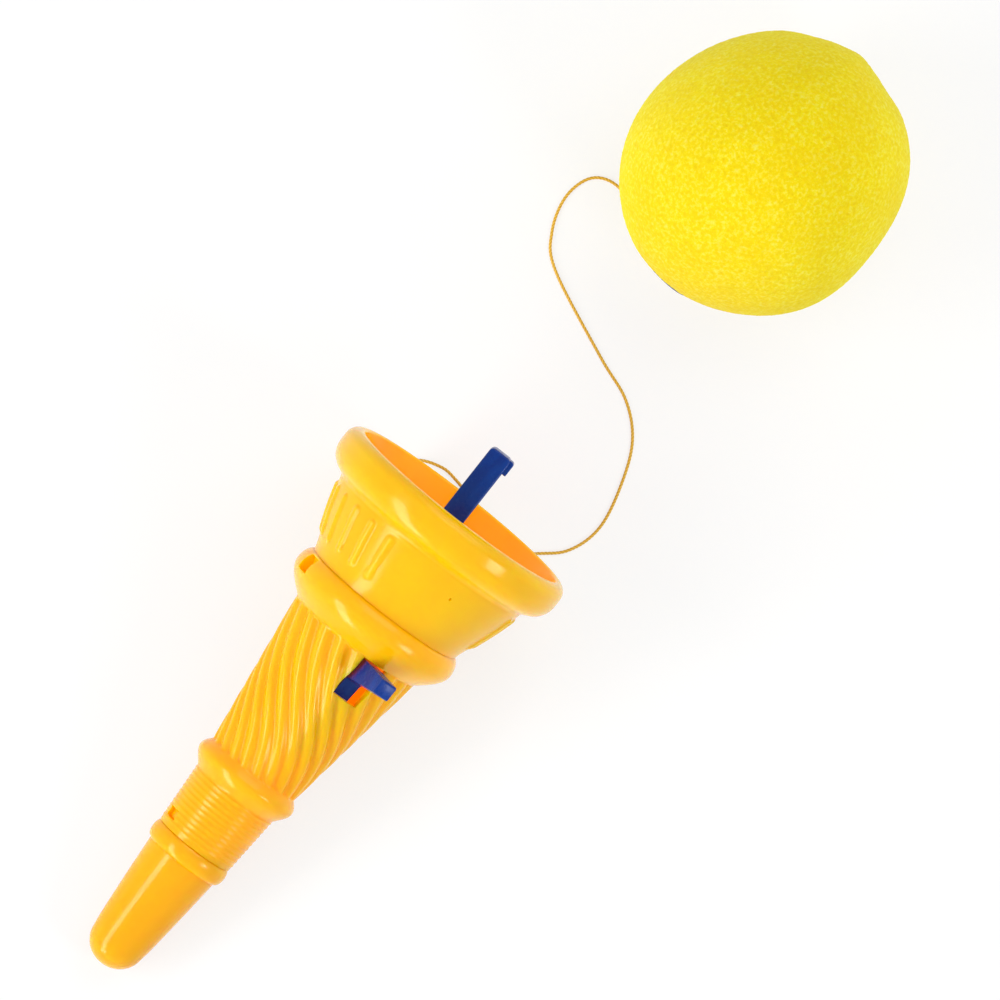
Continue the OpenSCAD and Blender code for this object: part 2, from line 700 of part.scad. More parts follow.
module foam_ball() color(lemon) at_socket() difference() {
    sphere(r = ball_r, $fn = 128);
    translate([0, 0, socket_face - socket_flange_t])
        cylinder(r = socket_flange_r + run_gap, h = socket_flange_t + over);
    translate([0, 0, socket_face - socket_depth - socket_end_t - snug_gap])
        cylinder(r = socket_r + snug_gap, h = socket_depth + socket_end_t);
    translate([-socket_hole_out, 0, socket_face - socket_flange_t - knot_len - run_gap])
        cylinder(r = knot_pocket_r, h = knot_len + over, $fn = 48);
}

module ball_socket() color(blue) at_socket() difference() {
    union() {
        translate([0, 0, socket_face - socket_depth - socket_end_t])
            cylinder(r = socket_r, h = socket_depth + socket_end_t);
        translate([0, 0, socket_face - socket_flange_t]) cylinder(r = socket_flange_r, h = socket_flange_t);
    }
    translate([0, 0, socket_face - socket_depth]) cylinder(r = socket_bore_r, h = socket_depth + over);
    translate([-socket_hole_out, 0, socket_face - socket_flange_t - over])
        cylinder(r = string_hole_r, h = socket_flange_t + 2 * over, $fn = 24);
}

// The string, kept on top of the table
string_points = [for (p = smooth(string_route, string_rings)) [p[0], p[1], max(p[2], string_d / 2)]];
string_spans = [for (i = [1:len(string_points) - 1]) norm(string_points[i] - string_points[i - 1])];
string_len = string_spans * [for (span = string_spans) 1];
module string() color(gold) tube_along(string_points, string_d / 2, string_sides);

// A knot as a rounded barrel that stands below its seat
module knot() translate([0, 0, -knot_len]) rotate_extrude($fn = 32) polygon(concat([[0, 0]],
    [for (i = [0:arc_steps]) let (u = i / arc_steps)
        [knot_r * (knot_waist + (1 - knot_waist) * sin(180 * u)), knot_len * u]], [[0, knot_len]]));

module string_knot_cup() color(gold) along_barrel()
    translate([-string_hole_out, 0, cup_s]) knot();

module string_knot_ball() color(gold) at_socket()
    translate([-socket_hole_out, 0, socket_face - socket_flange_t]) knot();

echo(str("tilt of the barrel: ", tilt));
echo(str("least gap of the main spring: ", least_gap(main_coil, spring_wire)));
echo(str("least gap of the trigger's spring: ", least_gap(small_coil, trigger_wire)));
echo(str("length of the string: ", string_len));

nose_cap();
cone_body();
cup();
guide_tube();
tube_plug();
plunger();
main_spring();
trigger();
trigger_pin();
trigger_spring();
foam_ball();
ball_socket();
string();
string_knot_cup();
string_knot_ball();
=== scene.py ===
"""Looks of a ball shooter toy: a cone-shaped launcher, its foam ball and the string between them.

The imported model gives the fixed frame. Each sub-assembly is a class that keeps its sizes in
millimetres, builds its meshes on its own axis and dresses them; a Placement then puts each
mesh where the CAD model has it.
"""

import logging
import math
from dataclasses import dataclass
from enum import Enum
from typing import Callable, Iterable, Optional, Sequence

import bmesh
import bpy
import numpy as np
from mathutils import Matrix, Vector, noise


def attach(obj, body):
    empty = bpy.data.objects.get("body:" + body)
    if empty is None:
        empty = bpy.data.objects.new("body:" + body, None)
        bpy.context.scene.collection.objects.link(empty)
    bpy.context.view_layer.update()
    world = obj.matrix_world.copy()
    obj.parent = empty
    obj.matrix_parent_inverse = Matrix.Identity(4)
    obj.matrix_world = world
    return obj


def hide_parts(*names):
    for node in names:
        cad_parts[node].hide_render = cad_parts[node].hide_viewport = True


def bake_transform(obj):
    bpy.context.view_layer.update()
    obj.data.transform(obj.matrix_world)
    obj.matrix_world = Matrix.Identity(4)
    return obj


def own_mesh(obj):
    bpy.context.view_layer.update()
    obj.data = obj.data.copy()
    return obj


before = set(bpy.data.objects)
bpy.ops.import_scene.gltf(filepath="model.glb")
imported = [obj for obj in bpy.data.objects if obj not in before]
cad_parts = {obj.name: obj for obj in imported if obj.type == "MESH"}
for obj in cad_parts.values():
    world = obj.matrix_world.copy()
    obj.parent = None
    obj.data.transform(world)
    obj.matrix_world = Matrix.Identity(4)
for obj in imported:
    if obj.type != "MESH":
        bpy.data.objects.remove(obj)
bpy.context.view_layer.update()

MM = 0.001
CREASE = 40.0
LOG = logging.getLogger("ball_shooter")

Colour = tuple[float, float, float]
Piece = bpy.types.Object
Material = bpy.types.Material
Socket = bpy.types.NodeSocket
Vert = bmesh.types.BMVert


class Body(Enum):
    """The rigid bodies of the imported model."""

    SHOOTER = "shooter"
    PLUNGER = "plunger_body"
    TRIGGER = "trigger_body"
    BALL = "ball_body"


class Join(Enum):
    """How one solid acts on another."""

    CUT = "DIFFERENCE"
    ADD = "UNION"


def turn_of(x_axis: Vector, y_axis: Vector, z_axis: Vector) -> Matrix:
    """Returns the matrix that turns the world's axes into three others."""
    return Matrix((x_axis, y_axis, z_axis)).transposed().to_4x4()


def linked(name: str, data: bpy.types.ID) -> Piece:
    """Makes an object and puts it in the scene.

    Args:
        name: Its name.
        data: Its mesh, lamp or camera.

    Returns:
        The object.
    """
    piece = bpy.data.objects.new(name, data)
    bpy.context.scene.collection.objects.link(piece)
    return piece


@dataclass(frozen=True)
class Placement:
    """An axis of its own in the row frame.

    Attributes:
        origin: Where the local origin lies, in millimetres.
        x_axis: Direction of the local X.
        z_axis: Direction of the local Z.
    """

    origin: Vector
    x_axis: Vector
    z_axis: Vector

    def matrix(self) -> Matrix:
        """Returns the matrix from local millimetres to metres in the row frame.

        Returns:
            The matrix, which also scales.
        """
        z_axis = self.z_axis.normalized()
        x_axis = (self.x_axis - self.x_axis.dot(z_axis) * z_axis).normalized()
        turn = turn_of(x_axis, z_axis.cross(x_axis), z_axis)
        return Matrix.Scale(MM, 4) @ Matrix.Translation(self.origin) @ turn

    def turned(self, degrees: float) -> "Placement":
        """Returns this placement turned about its own Z."""
        turn = Matrix.Rotation(math.radians(degrees), 3, self.z_axis)
        return Placement(self.origin, turn @ self.x_axis, self.z_axis)

    def point(self, x: float, y: float, z: float) -> Vector:
        """Returns a local point in metres in the row frame."""
        return self.matrix() @ Vector((x, y, z))

    def shifted(self, out: float) -> "Placement":
        """Returns this placement moved along its own X."""
        return Placement(self.origin + out * self.x_axis, self.x_axis, self.z_axis)

    def across(self, station: float) -> "Placement":
        """Returns the placement that points outward along X from a station on the axis."""
        return Placement(self.origin + station * self.z_axis, self.z_axis, self.x_axis)


ROW = Placement(Vector((0, 0, 0)), Vector((1, 0, 0)), Vector((0, 0, 1)))
TILT = math.radians(11.2225)
NOSE_TIP_R = 8.85
BARREL_AXIS = Vector((math.cos(TILT), 0.0, math.sin(TILT)))
BARREL = Placement(
    origin=Vector((-166.575, 6.0, NOSE_TIP_R)) - NOSE_TIP_R * BARREL_AXIS,
    x_axis=Vector((-math.sin(TILT), 0.0, math.cos(TILT))),
    z_axis=BARREL_AXIS,
)
TRIGGER_TURN = 26.0
BALL_R = 43.2
BALL_MIDDLE = Vector((132.225, -3.5, BALL_R))
SOCKET = Placement(
    origin=BALL_MIDDLE,
    x_axis=Vector((-0.298270, 0.038209, 0.953717)),
    z_axis=Vector((-0.945986, 0.121184, -0.300706)),
)
SOCKET_FACE = BALL_R + 0.2


@dataclass(frozen=True)
class Corner:
    """A corner of an outline.

    Attributes:
        out: Distance from the axis, in millimetres.
        station: Distance along the axis, in millimetres.
        rounding: Width of the rounding at the corner, in millimetres.
    """

    out: float
    station: float
    rounding: float = 0.0


def corners(*places: Sequence[float]) -> list[Corner]:
    """Returns corners, each given by its distance from the axis, its station and its rounding."""
    return [Corner(*place) for place in places]


def arc(out: float, station: float, width: float, height: float,
        start: float, end: float, steps: int) -> list[Corner]:
    """Makes the corners of an elliptic arc.

    Args:
        out: Distance of its middle from the axis.
        station: Station of its middle.
        width: Half width of the ellipse, away from the axis.
        height: Half height of the ellipse, along the axis.
        start: First angle in degrees.
        end: Last angle in degrees.
        steps: Number of steps.

    Returns:
        The corners from the first angle to the last.
    """
    angles = (math.radians(start + (end - start) * i / steps) for i in range(steps + 1))
    return [Corner(out + width * math.cos(a), station + height * math.sin(a)) for a in angles]


def curve(start: float, end: float, steps: int, radius: Callable[[float], float]) -> list[Corner]:
    """Makes corners along a curve whose radius follows from the station.

    Args:
        start: First station.
        end: Last station.
        steps: Number of steps.
        radius: Gives the radius at a station.

    Returns:
        The corners in order.
    """
    stations = (start + (end - start) * i / steps for i in range(steps + 1))
    return [Corner(radius(s), s) for s in stations]


def smoothstep(value: float) -> float:
    """Returns a smooth ramp from 0 to 1."""
    value = min(max(value, 0.0), 1.0)
    return value * value * (3.0 - 2.0 * value)


class Form:
    """A mesh under construction, in millimetres about its own Z axis."""

    def __init__(self) -> None:
        """Starts an empty form."""
        self.bm = bmesh.new()

    def _round(self, geom: list, width: float, segments: int, affect: str,
               clamp: bool = False) -> None:
        """Rounds edges or corners to a width."""
        bmesh.ops.bevel(self.bm, geom=geom, offset=width, offset_type="OFFSET", segments=segments,
                        profile=0.5, affect=affect, clamp_overlap=clamp, material=-1)

    def _outline_face(self, outline: Sequence[Corner]) -> None:
        """Adds an outline in the XZ plane as one face and rounds its corners.

        Args:
            outline: Its corners, in order.
        """
        bm = self.bm
        verts = [bm.verts.new((c.out, 0.0, c.station)) for c in outline]
        bm.faces.new(verts)
        rounded: dict[float, list[Vert]] = {}
        for corner, vert in zip(outline, verts):
            if corner.rounding:
                rounded.setdefault(corner.rounding, []).append(vert)
        for rounding, group in rounded.items():
            self._round(group, rounding, 4, "VERTICES")

    def lathe(self, outline: Sequence[Corner], steps: int) -> "Form":
        """Turns an outline round the axis into a closed shell.

        Args:
            outline: Corners of the outline, in order.
            steps: Number of steps of a full turn.

        Returns:
            The form itself.
        """
        bm = self.bm
        self._outline_face(outline)
        bmesh.ops.delete(bm, geom=bm.faces[:], context="FACES_ONLY")
        on_axis = [e for e in bm.edges if max(abs(v.co.x) for v in e.verts) < 1e-6]
        bmesh.ops.delete(bm, geom=on_axis, context="EDGES")
        bmesh.ops.spin(bm, geom=bm.verts[:] + bm.edges[:], axis=(0, 0, 1), cent=(0, 0, 0),
                       angle=2 * math.pi, steps=steps, use_merge=True)
        bmesh.ops.remove_doubles(bm, verts=bm.verts[:], dist=1e-4)
        bmesh.ops.recalc_face_normals(bm, faces=bm.faces[:])
        return self

    def plate(self, outline: Sequence[Corner], width: float, edge: float) -> "Form":
        """Makes a flat plate, centred on Y, with rounded rims.

        Args:
            outline: Corners of the plate's outline.
            width: Thickness of the plate.
            edge: Rounding of its rims.

        Returns:
            The form itself.
        """
        bm = self.bm
        self._outline_face(outline)
        bmesh.ops.translate(bm, verts=bm.verts[:], vec=(0, -width / 2, 0))
        grown = bmesh.ops.extrude_face_region(bm, geom=bm.faces[:], use_keep_orig=True)
        top = [g for g in grown["geom"] if isinstance(g, Vert)]
        bmesh.ops.translate(bm, verts=top, vec=(0, width, 0))
        bmesh.ops.recalc_face_normals(bm, faces=bm.faces[:])
        rims = [e for e in bm.edges if abs(e.verts[0].co.y - e.verts[1].co.y) < 1e-6]
        self._round(rims, edge, 3, "EDGES", clamp=True)
        return self

    def block(self, low: Sequence[float], high: Sequence[float], edge: float) -> "Form":
        """Makes a box between two corners, with rounded edges.

        Args:
            low: Its lowest corner.
            high: Its highest corner.
            edge: Rounding of its edges, or 0 for none.

        Returns:
            The form itself.
        """
        bm = self.bm
        bmesh.ops.create_cube(bm, size=1.0)
        size = Vector(high) - Vector(low)
        bmesh.ops.scale(bm, vec=size, verts=bm.verts[:])
        bmesh.ops.translate(bm, vec=Vector(low) + size / 2, verts=bm.verts[:])
        if edge:
            self._round(bm.edges[:], edge, 3, "EDGES")
        return self

    def rod(self, radius: float, start: float, end: float, steps: int = 48) -> "Form":
        """Makes a plain round rod along the axis, such as a cutter."""
        return self.lathe(corners((0, start), (radius, start), (radius, end), (0, end)), steps)

    def moved(self, matrix: Matrix) -> "Form":
        """Moves the whole form in its own millimetres."""
        self.bm.transform(matrix)
        return self

    def shape(self, rule: Callable[[Vector], Vector]) -> "Form":
        """Moves each vertex to where a rule puts it."""
        for vert in self.bm.verts:
            vert.co = rule(vert.co)
        return self

    def place(self, name: str, placement: Placement) -> Piece:
        """Turns the form into an object in the row frame.

        Args:
            name: Name of the piece.
            placement: Where its own axis lies.

        Returns:
            The object, at the origin, with its place in its mesh.
        """
        mesh = bpy.data.meshes.new(name)
        self.bm.transform(placement.matrix())
        self.bm.to_mesh(mesh)
        self.bm.free()
        return linked(name, mesh)


def combine(piece: Piece, form: Form, placement: Placement, join: Join = Join.CUT) -> None:
    """Cuts a solid form out of a piece, or joins it to the piece.

    Args:
        piece: The piece that changes.
        form: The form that acts on it.
        placement: Where the form's own axis lies.
        join: Whether it is cut out or added.
    """
    other = form.place("tool", placement)
    modifier = piece.modifiers.new("combine", "BOOLEAN")
    modifier.operation = join.value
    modifier.solver = "EXACT"
    modifier.object = other
    depsgraph = bpy.context.evaluated_depsgraph_get()
    mesh = bpy.data.meshes.new_from_object(piece.evaluated_get(depsgraph))
    piece.modifiers.clear()
    old = piece.data
    mesh.name = piece.name
    piece.data = mesh
    bpy.data.meshes.remove(old)
    bpy.data.objects.remove(other)


def local_points(piece: Piece, placement: Placement) -> tuple[np.ndarray, np.ndarray]:
    """Returns a piece's vertices in a placement's millimetres and their distances from its axis.

    Args:
        piece: The piece.
        placement: The frame to measure in.

    Returns:
        The points, one in a row, and their distances from the axis.
    """
    points = np.empty(len(piece.data.vertices) * 3)
    piece.data.vertices.foreach_get("co", points)
    points = np.c_[points.reshape(-1, 3), np.ones(len(piece.data.vertices))]
    points = (points @ np.array(placement.matrix().inverted()).T)[:, :3]
    return points, np.hypot(points[:, 0], points[:, 1])


def paint(piece: Piece, name: str, values: np.ndarray) -> None:
    """Stores a number for each vertex, which a finish reads by its name."""
    attribute = piece.data.attributes.new(name, "FLOAT", "POINT")
    attribute.data.foreach_set("value", values.astype(np.float32))


def dress(piece: Piece, node: str, finish: Material, crease: Optional[float] = CREASE) -> None:
    """Gives a piece its shading and its finish, and reports it.

    Args:
        piece: The piece.
        node: The CAD node that it is or stands for, named in the report.
        finish: Its material.
        crease: Angle from which its edges stay sharp, in degrees, or None for none.
    """
    piece.data.shade_smooth()
    if crease is not None:
        piece.data.set_sharp_from_angle(angle=math.radians(crease))
    piece.data.materials.clear()
    piece.data.materials.append(finish)
    LOG.info("%s: %d faces for node %s", piece.name, len(piece.data.polygons), node)


def install(piece: Piece, body: Optional[Body], node: str, finish: Material,
            crease: Optional[float] = CREASE) -> None:
    """Dresses a piece and puts it on its body in place of its CAD node.

    Args:
        piece: The piece.
        body: The body that it rides on, or None where it bends between two.
        node: The CAD node that it stands for.
        finish: Its material.
        crease: Angle from which its edges stay sharp, in degrees, or None for none.
    """
    if body is not None:
        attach(piece, body.value)
    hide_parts(node)
    dress(piece, node, finish, crease)


class Shader:
    """A material being put together round one Principled shader."""

    def __init__(self, name: str, sockets: dict[str, object]) -> None:
        """Starts a material.

        Args:
            name: Name of the material.
            sockets: Values for the shader's own sockets.
        """
        self.material = bpy.data.materials.new(name)
        self.material.use_nodes = True
        self.tree = self.material.node_tree
        self.surface = self.tree.nodes["Principled BSDF"]
        for socket, value in sockets.items():
            self.surface.inputs[socket].default_value = value
        self._where: dict[tuple[float, ...], Socket] = {}

    def node(self, kind: str, settings: Optional[dict[str, object]] = None,
             inputs: Optional[dict[object, object]] = None) -> bpy.types.Node:
        """Adds a node.

        Args:
            kind: Type of the node, without its ShaderNode prefix.
            settings: Values for its own properties.
            inputs: Values or sockets for its inputs, by name or number.

        Returns:
            The node.
        """
        node = self.tree.nodes.new("ShaderNode" + kind)
        for key, value in (settings or {}).items():
            setattr(node, key, value)
        for key, value in (inputs or {}).items():
            if isinstance(value, Socket):
                self.tree.links.new(value, node.inputs[key])
            else:
                node.inputs[key].default_value = value
        return node

    def to_surface(self, socket: str, value: Socket) -> None:
        """Links a socket to the shader."""
        self.tree.links.new(value, self.surface.inputs[socket])

    def place(self, turn: tuple[float, float, float] = (0.0, 0.0, 0.0),
              stretch: tuple[float, float, float] = (1.0, 1.0, 1.0)) -> Socket:
        """Returns Object coordinates, turned by radians and stretched.

        Args:
            turn: Angles about X, Y and Z, in radians.
            stretch: Factors along X, Y and Z.

        Returns:
            The socket, made once for each turn and stretch.
        """
        key = turn + stretch
        if key not in self._where:
            source = self.node("TexCoord").outputs["Object"]
            mapping = self.node("Mapping", {"vector_type": "POINT"},
                                {"Vector": source, "Rotation": turn, "Scale": stretch})
            self._where[key] = mapping.outputs["Vector"]
        return self._where[key]

    def grain(self, size: float, detail: float = 2.0, where: Optional[Socket] = None,
              rough: float = 0.5) -> Socket:
        """Returns noise whose features are about so many millimetres wide."""
        inputs = {"Vector": where or self.place(), "Scale": 1.0 / (size * MM),
                  "Detail": detail, "Roughness": rough}
        return self.node("TexNoise", None, inputs).outputs["Fac"]

    def pores(self, size: float) -> Socket:
        """Returns the distance to scattered points about so many millimetres apart."""
        return self.node("TexVoronoi", {"feature": "F1"},
                         {"Vector": self.place(), "Scale": 1.0 / (size * MM)}).outputs["Distance"]

    def attribute(self, name: str) -> Socket:
        """Returns a number stored on the piece's vertices."""
        return self.node("Attribute", {"attribute_name": name}).outputs["Fac"]

    def ramp(self, value: Socket, low: float, high: float,
             to_low: float, to_high: float) -> Socket:
        """Returns a value mapped from one range to another, with its ends held."""
        return self.node("MapRange", None, {"Value": value, "From Min": low, "From Max": high,
                                            "To Min": to_low, "To Max": to_high}).outputs["Result"]

    def mix(self, share: object, first: object, second: object) -> Socket:
        """Returns a mix of two colours, each a colour or a socket.

        Args:
            share: Share of the second colour, a number or a socket.
            first: The first colour, or its socket.
            second: The second colour, or its socket.

        Returns:
            The socket of the mixed colour.
        """
        node = self.node("Mix", {"data_type": "RGBA"})
        sides = {0: share, 6: first, 7: second}
        for index, value in sides.items():
            if isinstance(value, Socket):
                self.tree.links.new(value, node.inputs[index])
            else:
                node.inputs[index].default_value = value if index == 0 else (*value, 1.0)
        return node.outputs[2]

    def bump(self, layers: Iterable[tuple[Socket, float, float]]) -> None:
        """Presses height patterns into the surface.

        Args:
            layers: For each pattern its height, its strength and its depth in millimetres.
        """
        normal = None
        for height, strength, depth in layers:
            inputs = {"Height": height, "Strength": strength, "Distance": depth * MM}
            if normal is not None:
                inputs["Normal"] = normal
            normal = self.node("Bump", None, inputs).outputs["Normal"]
        self.to_surface("Normal", normal)


@dataclass(frozen=True)
class MouldedYellow:
    """Shiny moulded plastic, with painted shade and a painted glow in its hollows.

    Attributes:
        name: Name of the material.
        skin: Colour of the outside at the mouth.
        nose: Colour of the outside at the nose.
        deep: Colour of the painted shade in hollows, as marked by the piece's "depth" attribute.
        painted_glow: Colour of the hollows' painted glow, for light through the wall.
        painted_glow_strength: Strength of that painted glow.
        roughness: Roughness of the skin.
    """

    name: str
    skin: Colour = (0.98, 0.55, 0.0)
    nose: Colour = (0.98, 0.43, 0.0)
    deep: Colour = (1.0, 0.43, 0.0)
    painted_glow: Colour = (1.0, 0.33, 0.0)
    painted_glow_strength: float = 0.3
    roughness: float = 0.16

    def material(self) -> Material:
        """Makes the material.

        Returns:
            The material.
        """
        # The emission colour is the painted glow of the hollows.
        shader = Shader(self.name, {"IOR": 1.49, "Specular IOR Level": 0.35,
                                    "Specular Tint": (1.0, 0.9, 0.62, 1.0),
                                    "Subsurface Weight": 0.9, "Subsurface Scale": 0.006,
                                    "Subsurface Radius": (1.0, 0.6, 0.02),
                                    "Emission Color": (*self.painted_glow, 1.0)})
        along = shader.node("SeparateXYZ", None, {"Vector": shader.place(turn=(0.0, TILT, 0.0))})
        toward_mouth = shader.ramp(along.outputs["X"], -0.17, -0.02, 0.0, 1.0)
        skin = shader.mix(toward_mouth, self.nose, self.skin)
        cloud = shader.ramp(shader.grain(14.0, 3.0), 0.3, 0.7, 0.0, 0.22)
        skin = shader.mix(cloud, skin, self.nose)
        depth = shader.attribute("depth")
        # Painted shade: the hollows marked by "depth" get the deeper orange.
        shader.to_surface("Base Color", shader.mix(depth, skin, self.deep))
        # Painted glow: the hollows marked by "depth" give off orange light, standing in for light
        # through the wall.
        shader.to_surface("Emission Strength", shader.ramp(depth, 0.0, 1.0, 0.0, self.painted_glow_strength))
        drawn = shader.place(turn=(0.0, TILT, 0.0), stretch=(0.25, 1.0, 1.0))
        smear = shader.grain(3.0, 4.0, drawn)
        shader.to_surface("Roughness", shader.ramp(smear, 0.25, 0.75, self.roughness - 0.05,
                                                   self.roughness + 0.09))
        shader.bump([(shader.grain(9.0, 2.0), 0.15, 0.3), (shader.grain(0.45, 3.0), 0.06, 0.03)])
        return shader.material


@dataclass(frozen=True)
class MouldedBlue:
    """Glossy navy plastic with faint flow marks."""

    name: str
    skin: Colour = (0.0, 0.028, 0.23)
    worn: Colour = (0.0, 0.048, 0.32)
    roughness: float = 0.2

    def material(self) -> Material:
        """Makes the material.

        Returns:
            The material.
        """
        shader = Shader(self.name, {"IOR": 1.5, "Specular IOR Level": 0.2})
        flow = shader.grain(4.0, 4.0, shader.place(turn=(0.0, TILT, 0.0), stretch=(0.3, 1.0, 1.0)))
        shader.to_surface("Base Color", shader.mix(shader.ramp(flow, 0.35, 0.7, 0.0, 1.0),
                                                   self.skin, self.worn))
        shader.to_surface("Roughness", shader.ramp(shader.grain(2.0, 4.0), 0.3, 0.7,
                                                   self.roughness, self.roughness + 0.12))
        shader.bump([(shader.grain(5.0, 2.0), 0.2, 0.2), (shader.grain(0.35, 3.0), 0.08, 0.02)])
        return shader.material


@dataclass(frozen=True)
class DrawnSteel:
    """Bright wire with fine lines from the die."""

    name: str
    bright: Colour = (0.62, 0.62, 0.63)
    dull: Colour = (0.38, 0.37, 0.36)

    def material(self) -> Material:
        """Makes the material.

        Returns:
            The material.
        """
        shader = Shader(self.name, {"Metallic": 1.0})
        film = shader.ramp(shader.grain(1.5, 4.0), 0.35, 0.65, 0.0, 1.0)
        shader.to_surface("Base Color", shader.mix(film, self.bright, self.dull))
        shader.to_surface("Roughness", shader.ramp(shader.grain(0.6, 3.0), 0.3, 0.7, 0.22, 0.42))
        shader.bump([(shader.grain(0.15, 2.0), 0.15, 0.01)])
        return shader.material


@dataclass(frozen=True)
class FineFoam:
    """Soft open-celled foam: a matt skin of tiny cells, speckled with painted light and painted
    shade, with broad darker blotches at random.
    """

    name: str
    body: Colour = (0.96, 0.75, 0.002)
    painted_light: Colour = (1.0, 0.87, 0.12)
    painted_shade_and_blotch: Colour = (0.88, 0.64, 0.002)

    def material(self) -> Material:
        """Makes the material.

        Returns:
            The material.
        """
        shader = Shader(self.name, {"Roughness": 0.95, "Specular IOR Level": 0.08,
                                    "Sheen Weight": 0.08, "Sheen Roughness": 0.6,
                                    "Subsurface Weight": 0.7, "Subsurface Scale": 0.006,
                                    "Subsurface Radius": (1.0, 0.8, 0.15)})
        cells = shader.pores(1.0)
        speck = shader.grain(1.25, 3.0, rough=0.62)
        # Painted light and shade: the speckles mix in a lighter and a darker copy of the body
        # colour, standing in for cells in light and in shade.
        colour = shader.mix(shader.ramp(speck, 0.5, 0.72, 0.0, 0.8), self.body, self.painted_light)
        colour = shader.mix(shader.ramp(speck, 0.5, 0.3, 0.0, 0.8), colour, self.painted_shade_and_blotch)
        # Broad darker blotches at random, in the same darker colour.
        cloud = shader.ramp(shader.grain(12.0, 2.0), 0.4, 0.7, 0.0, 0.3)
        colour = shader.mix(cloud, colour, self.painted_shade_and_blotch)
        shader.to_surface("Base Color", colour)
        shader.bump([(shader.ramp(cells, 0.0, 0.8, 0.0, 1.0), 0.6, 0.25), (speck, 0.5, 0.3)])
        return shader.material


@dataclass(frozen=True)
class TwistedThread:
    """Golden twisted thread, with painted shade in the grooves between its strands and darker
    fibres at random.
    """

    name: str
    painted_light: Colour = (0.95, 0.62, 0.06)
    groove_shade_and_dark_fibre: Colour = (0.62, 0.33, 0.02)

    def material(self) -> Material:
        """Makes the material.

        Returns:
            The material.
        """
        shader = Shader(self.name, {"Roughness": 0.55, "Sheen Weight": 0.2, "Sheen Roughness": 0.4})
        fibre = shader.grain(0.25, 3.0)
        # Painted shade: the crowns of the strands get the lighter colour and the grooves between
        # them the darker one.
        colour = shader.mix(shader.attribute("crown"), self.groove_shade_and_dark_fibre, self.painted_light)
        # Darker fibres at random, in the same darker colour.
        colour = shader.mix(shader.ramp(fibre, 0.35, 0.75, 0.0, 0.35), colour, self.groove_shade_and_dark_fibre)
        shader.to_surface("Base Color", colour)
        shader.bump([(fibre, 0.4, 0.05)])
        return shader.material


@dataclass
class NoseCap:
    """The round nose with its band, spigot and two snap catches."""

    tip_h: float = 8.3
    cheek_s: float = 9.4
    cheek_r: float = 9.02
    band_s: float = 40.2
    band_r: float = 13.5
    band_round: float = 1.35
    grip_s: float = 46.1
    end_r: float = 11.9
    spigot_r: float = 10.25
    spigot_wall: float = 1.8
    spigot_end: float = 55.1
    wall: float = 2.0
    snap_turns: tuple[float, float] = (-57.0, 123.0)
    snap_s: float = 50.3
    snap_half: tuple[float, float] = (2.2, 1.3)
    snap_reach: float = 11.85
    hidden: tuple[tuple[float, ...], ...] = ((0, 8, 40), (-9, 7, 11.2))
    steps: int = 160

    def outline(self) -> list[Corner]:
        """Returns the outline from the tip round the spigot to the inner tip.

        Returns:
            The corners in order.
        """
        tip = arc(0, NOSE_TIP_R, NOSE_TIP_R, self.tip_h, -90, -9, 22)
        inner_r = NOSE_TIP_R - self.wall
        hollow = arc(0, NOSE_TIP_R, inner_r, inner_r, 0, -90, 10)
        rise = self.end_r - self.cheek_r
        taper = curve(self.cheek_s, self.band_s - 0.3, 24, lambda s: self.cheek_r + rise
                      * ((s - self.cheek_s) / (self.band_s - self.cheek_s)) ** 0.85)
        foot = self.band_r - self.band_round
        band = arc(foot, (self.band_s + self.grip_s) / 2, self.band_round,
                   (self.grip_s - self.band_s) / 2, -84, 70, 12)
        spigot_in = self.spigot_r - self.spigot_wall
        spigot = corners((foot, self.grip_s, 0.3), (self.spigot_r, self.grip_s),
                         (self.spigot_r, self.spigot_end, 0.4), (spigot_in, self.spigot_end, 0.3),
                         (spigot_in, self.band_s))
        return tip + taper + band + spigot + hollow

    def build(self, finish: Material) -> None:
        """Builds, dresses and installs the nose cap.

        Args:
            finish: Its material.
        """
        piece = Form().lathe(self.outline(), self.steps).place("nose_cap", BARREL)
        half, half_l = self.snap_half
        for turn in self.snap_turns:
            catch = Form().block((self.spigot_r - 1.3, -half, self.snap_s - half_l),
                                 (self.snap_reach, half, self.snap_s + half_l), 0.3)
            combine(piece, catch, BARREL.turned(turn), Join.ADD)
        # Painted shade and glow: the spigot and the hidden hollow get part of the finish's deeper
        # orange and its emission.
        points, reach = local_points(piece, BARREL)
        hidden = (points[:, 2] > self.grip_s) | (reach < np.interp(points[:, 2], *self.hidden))
        paint(piece, "depth", np.where(hidden, 0.6, 0.0))
        install(piece, Body.SHOOTER, "nose_cap", finish)


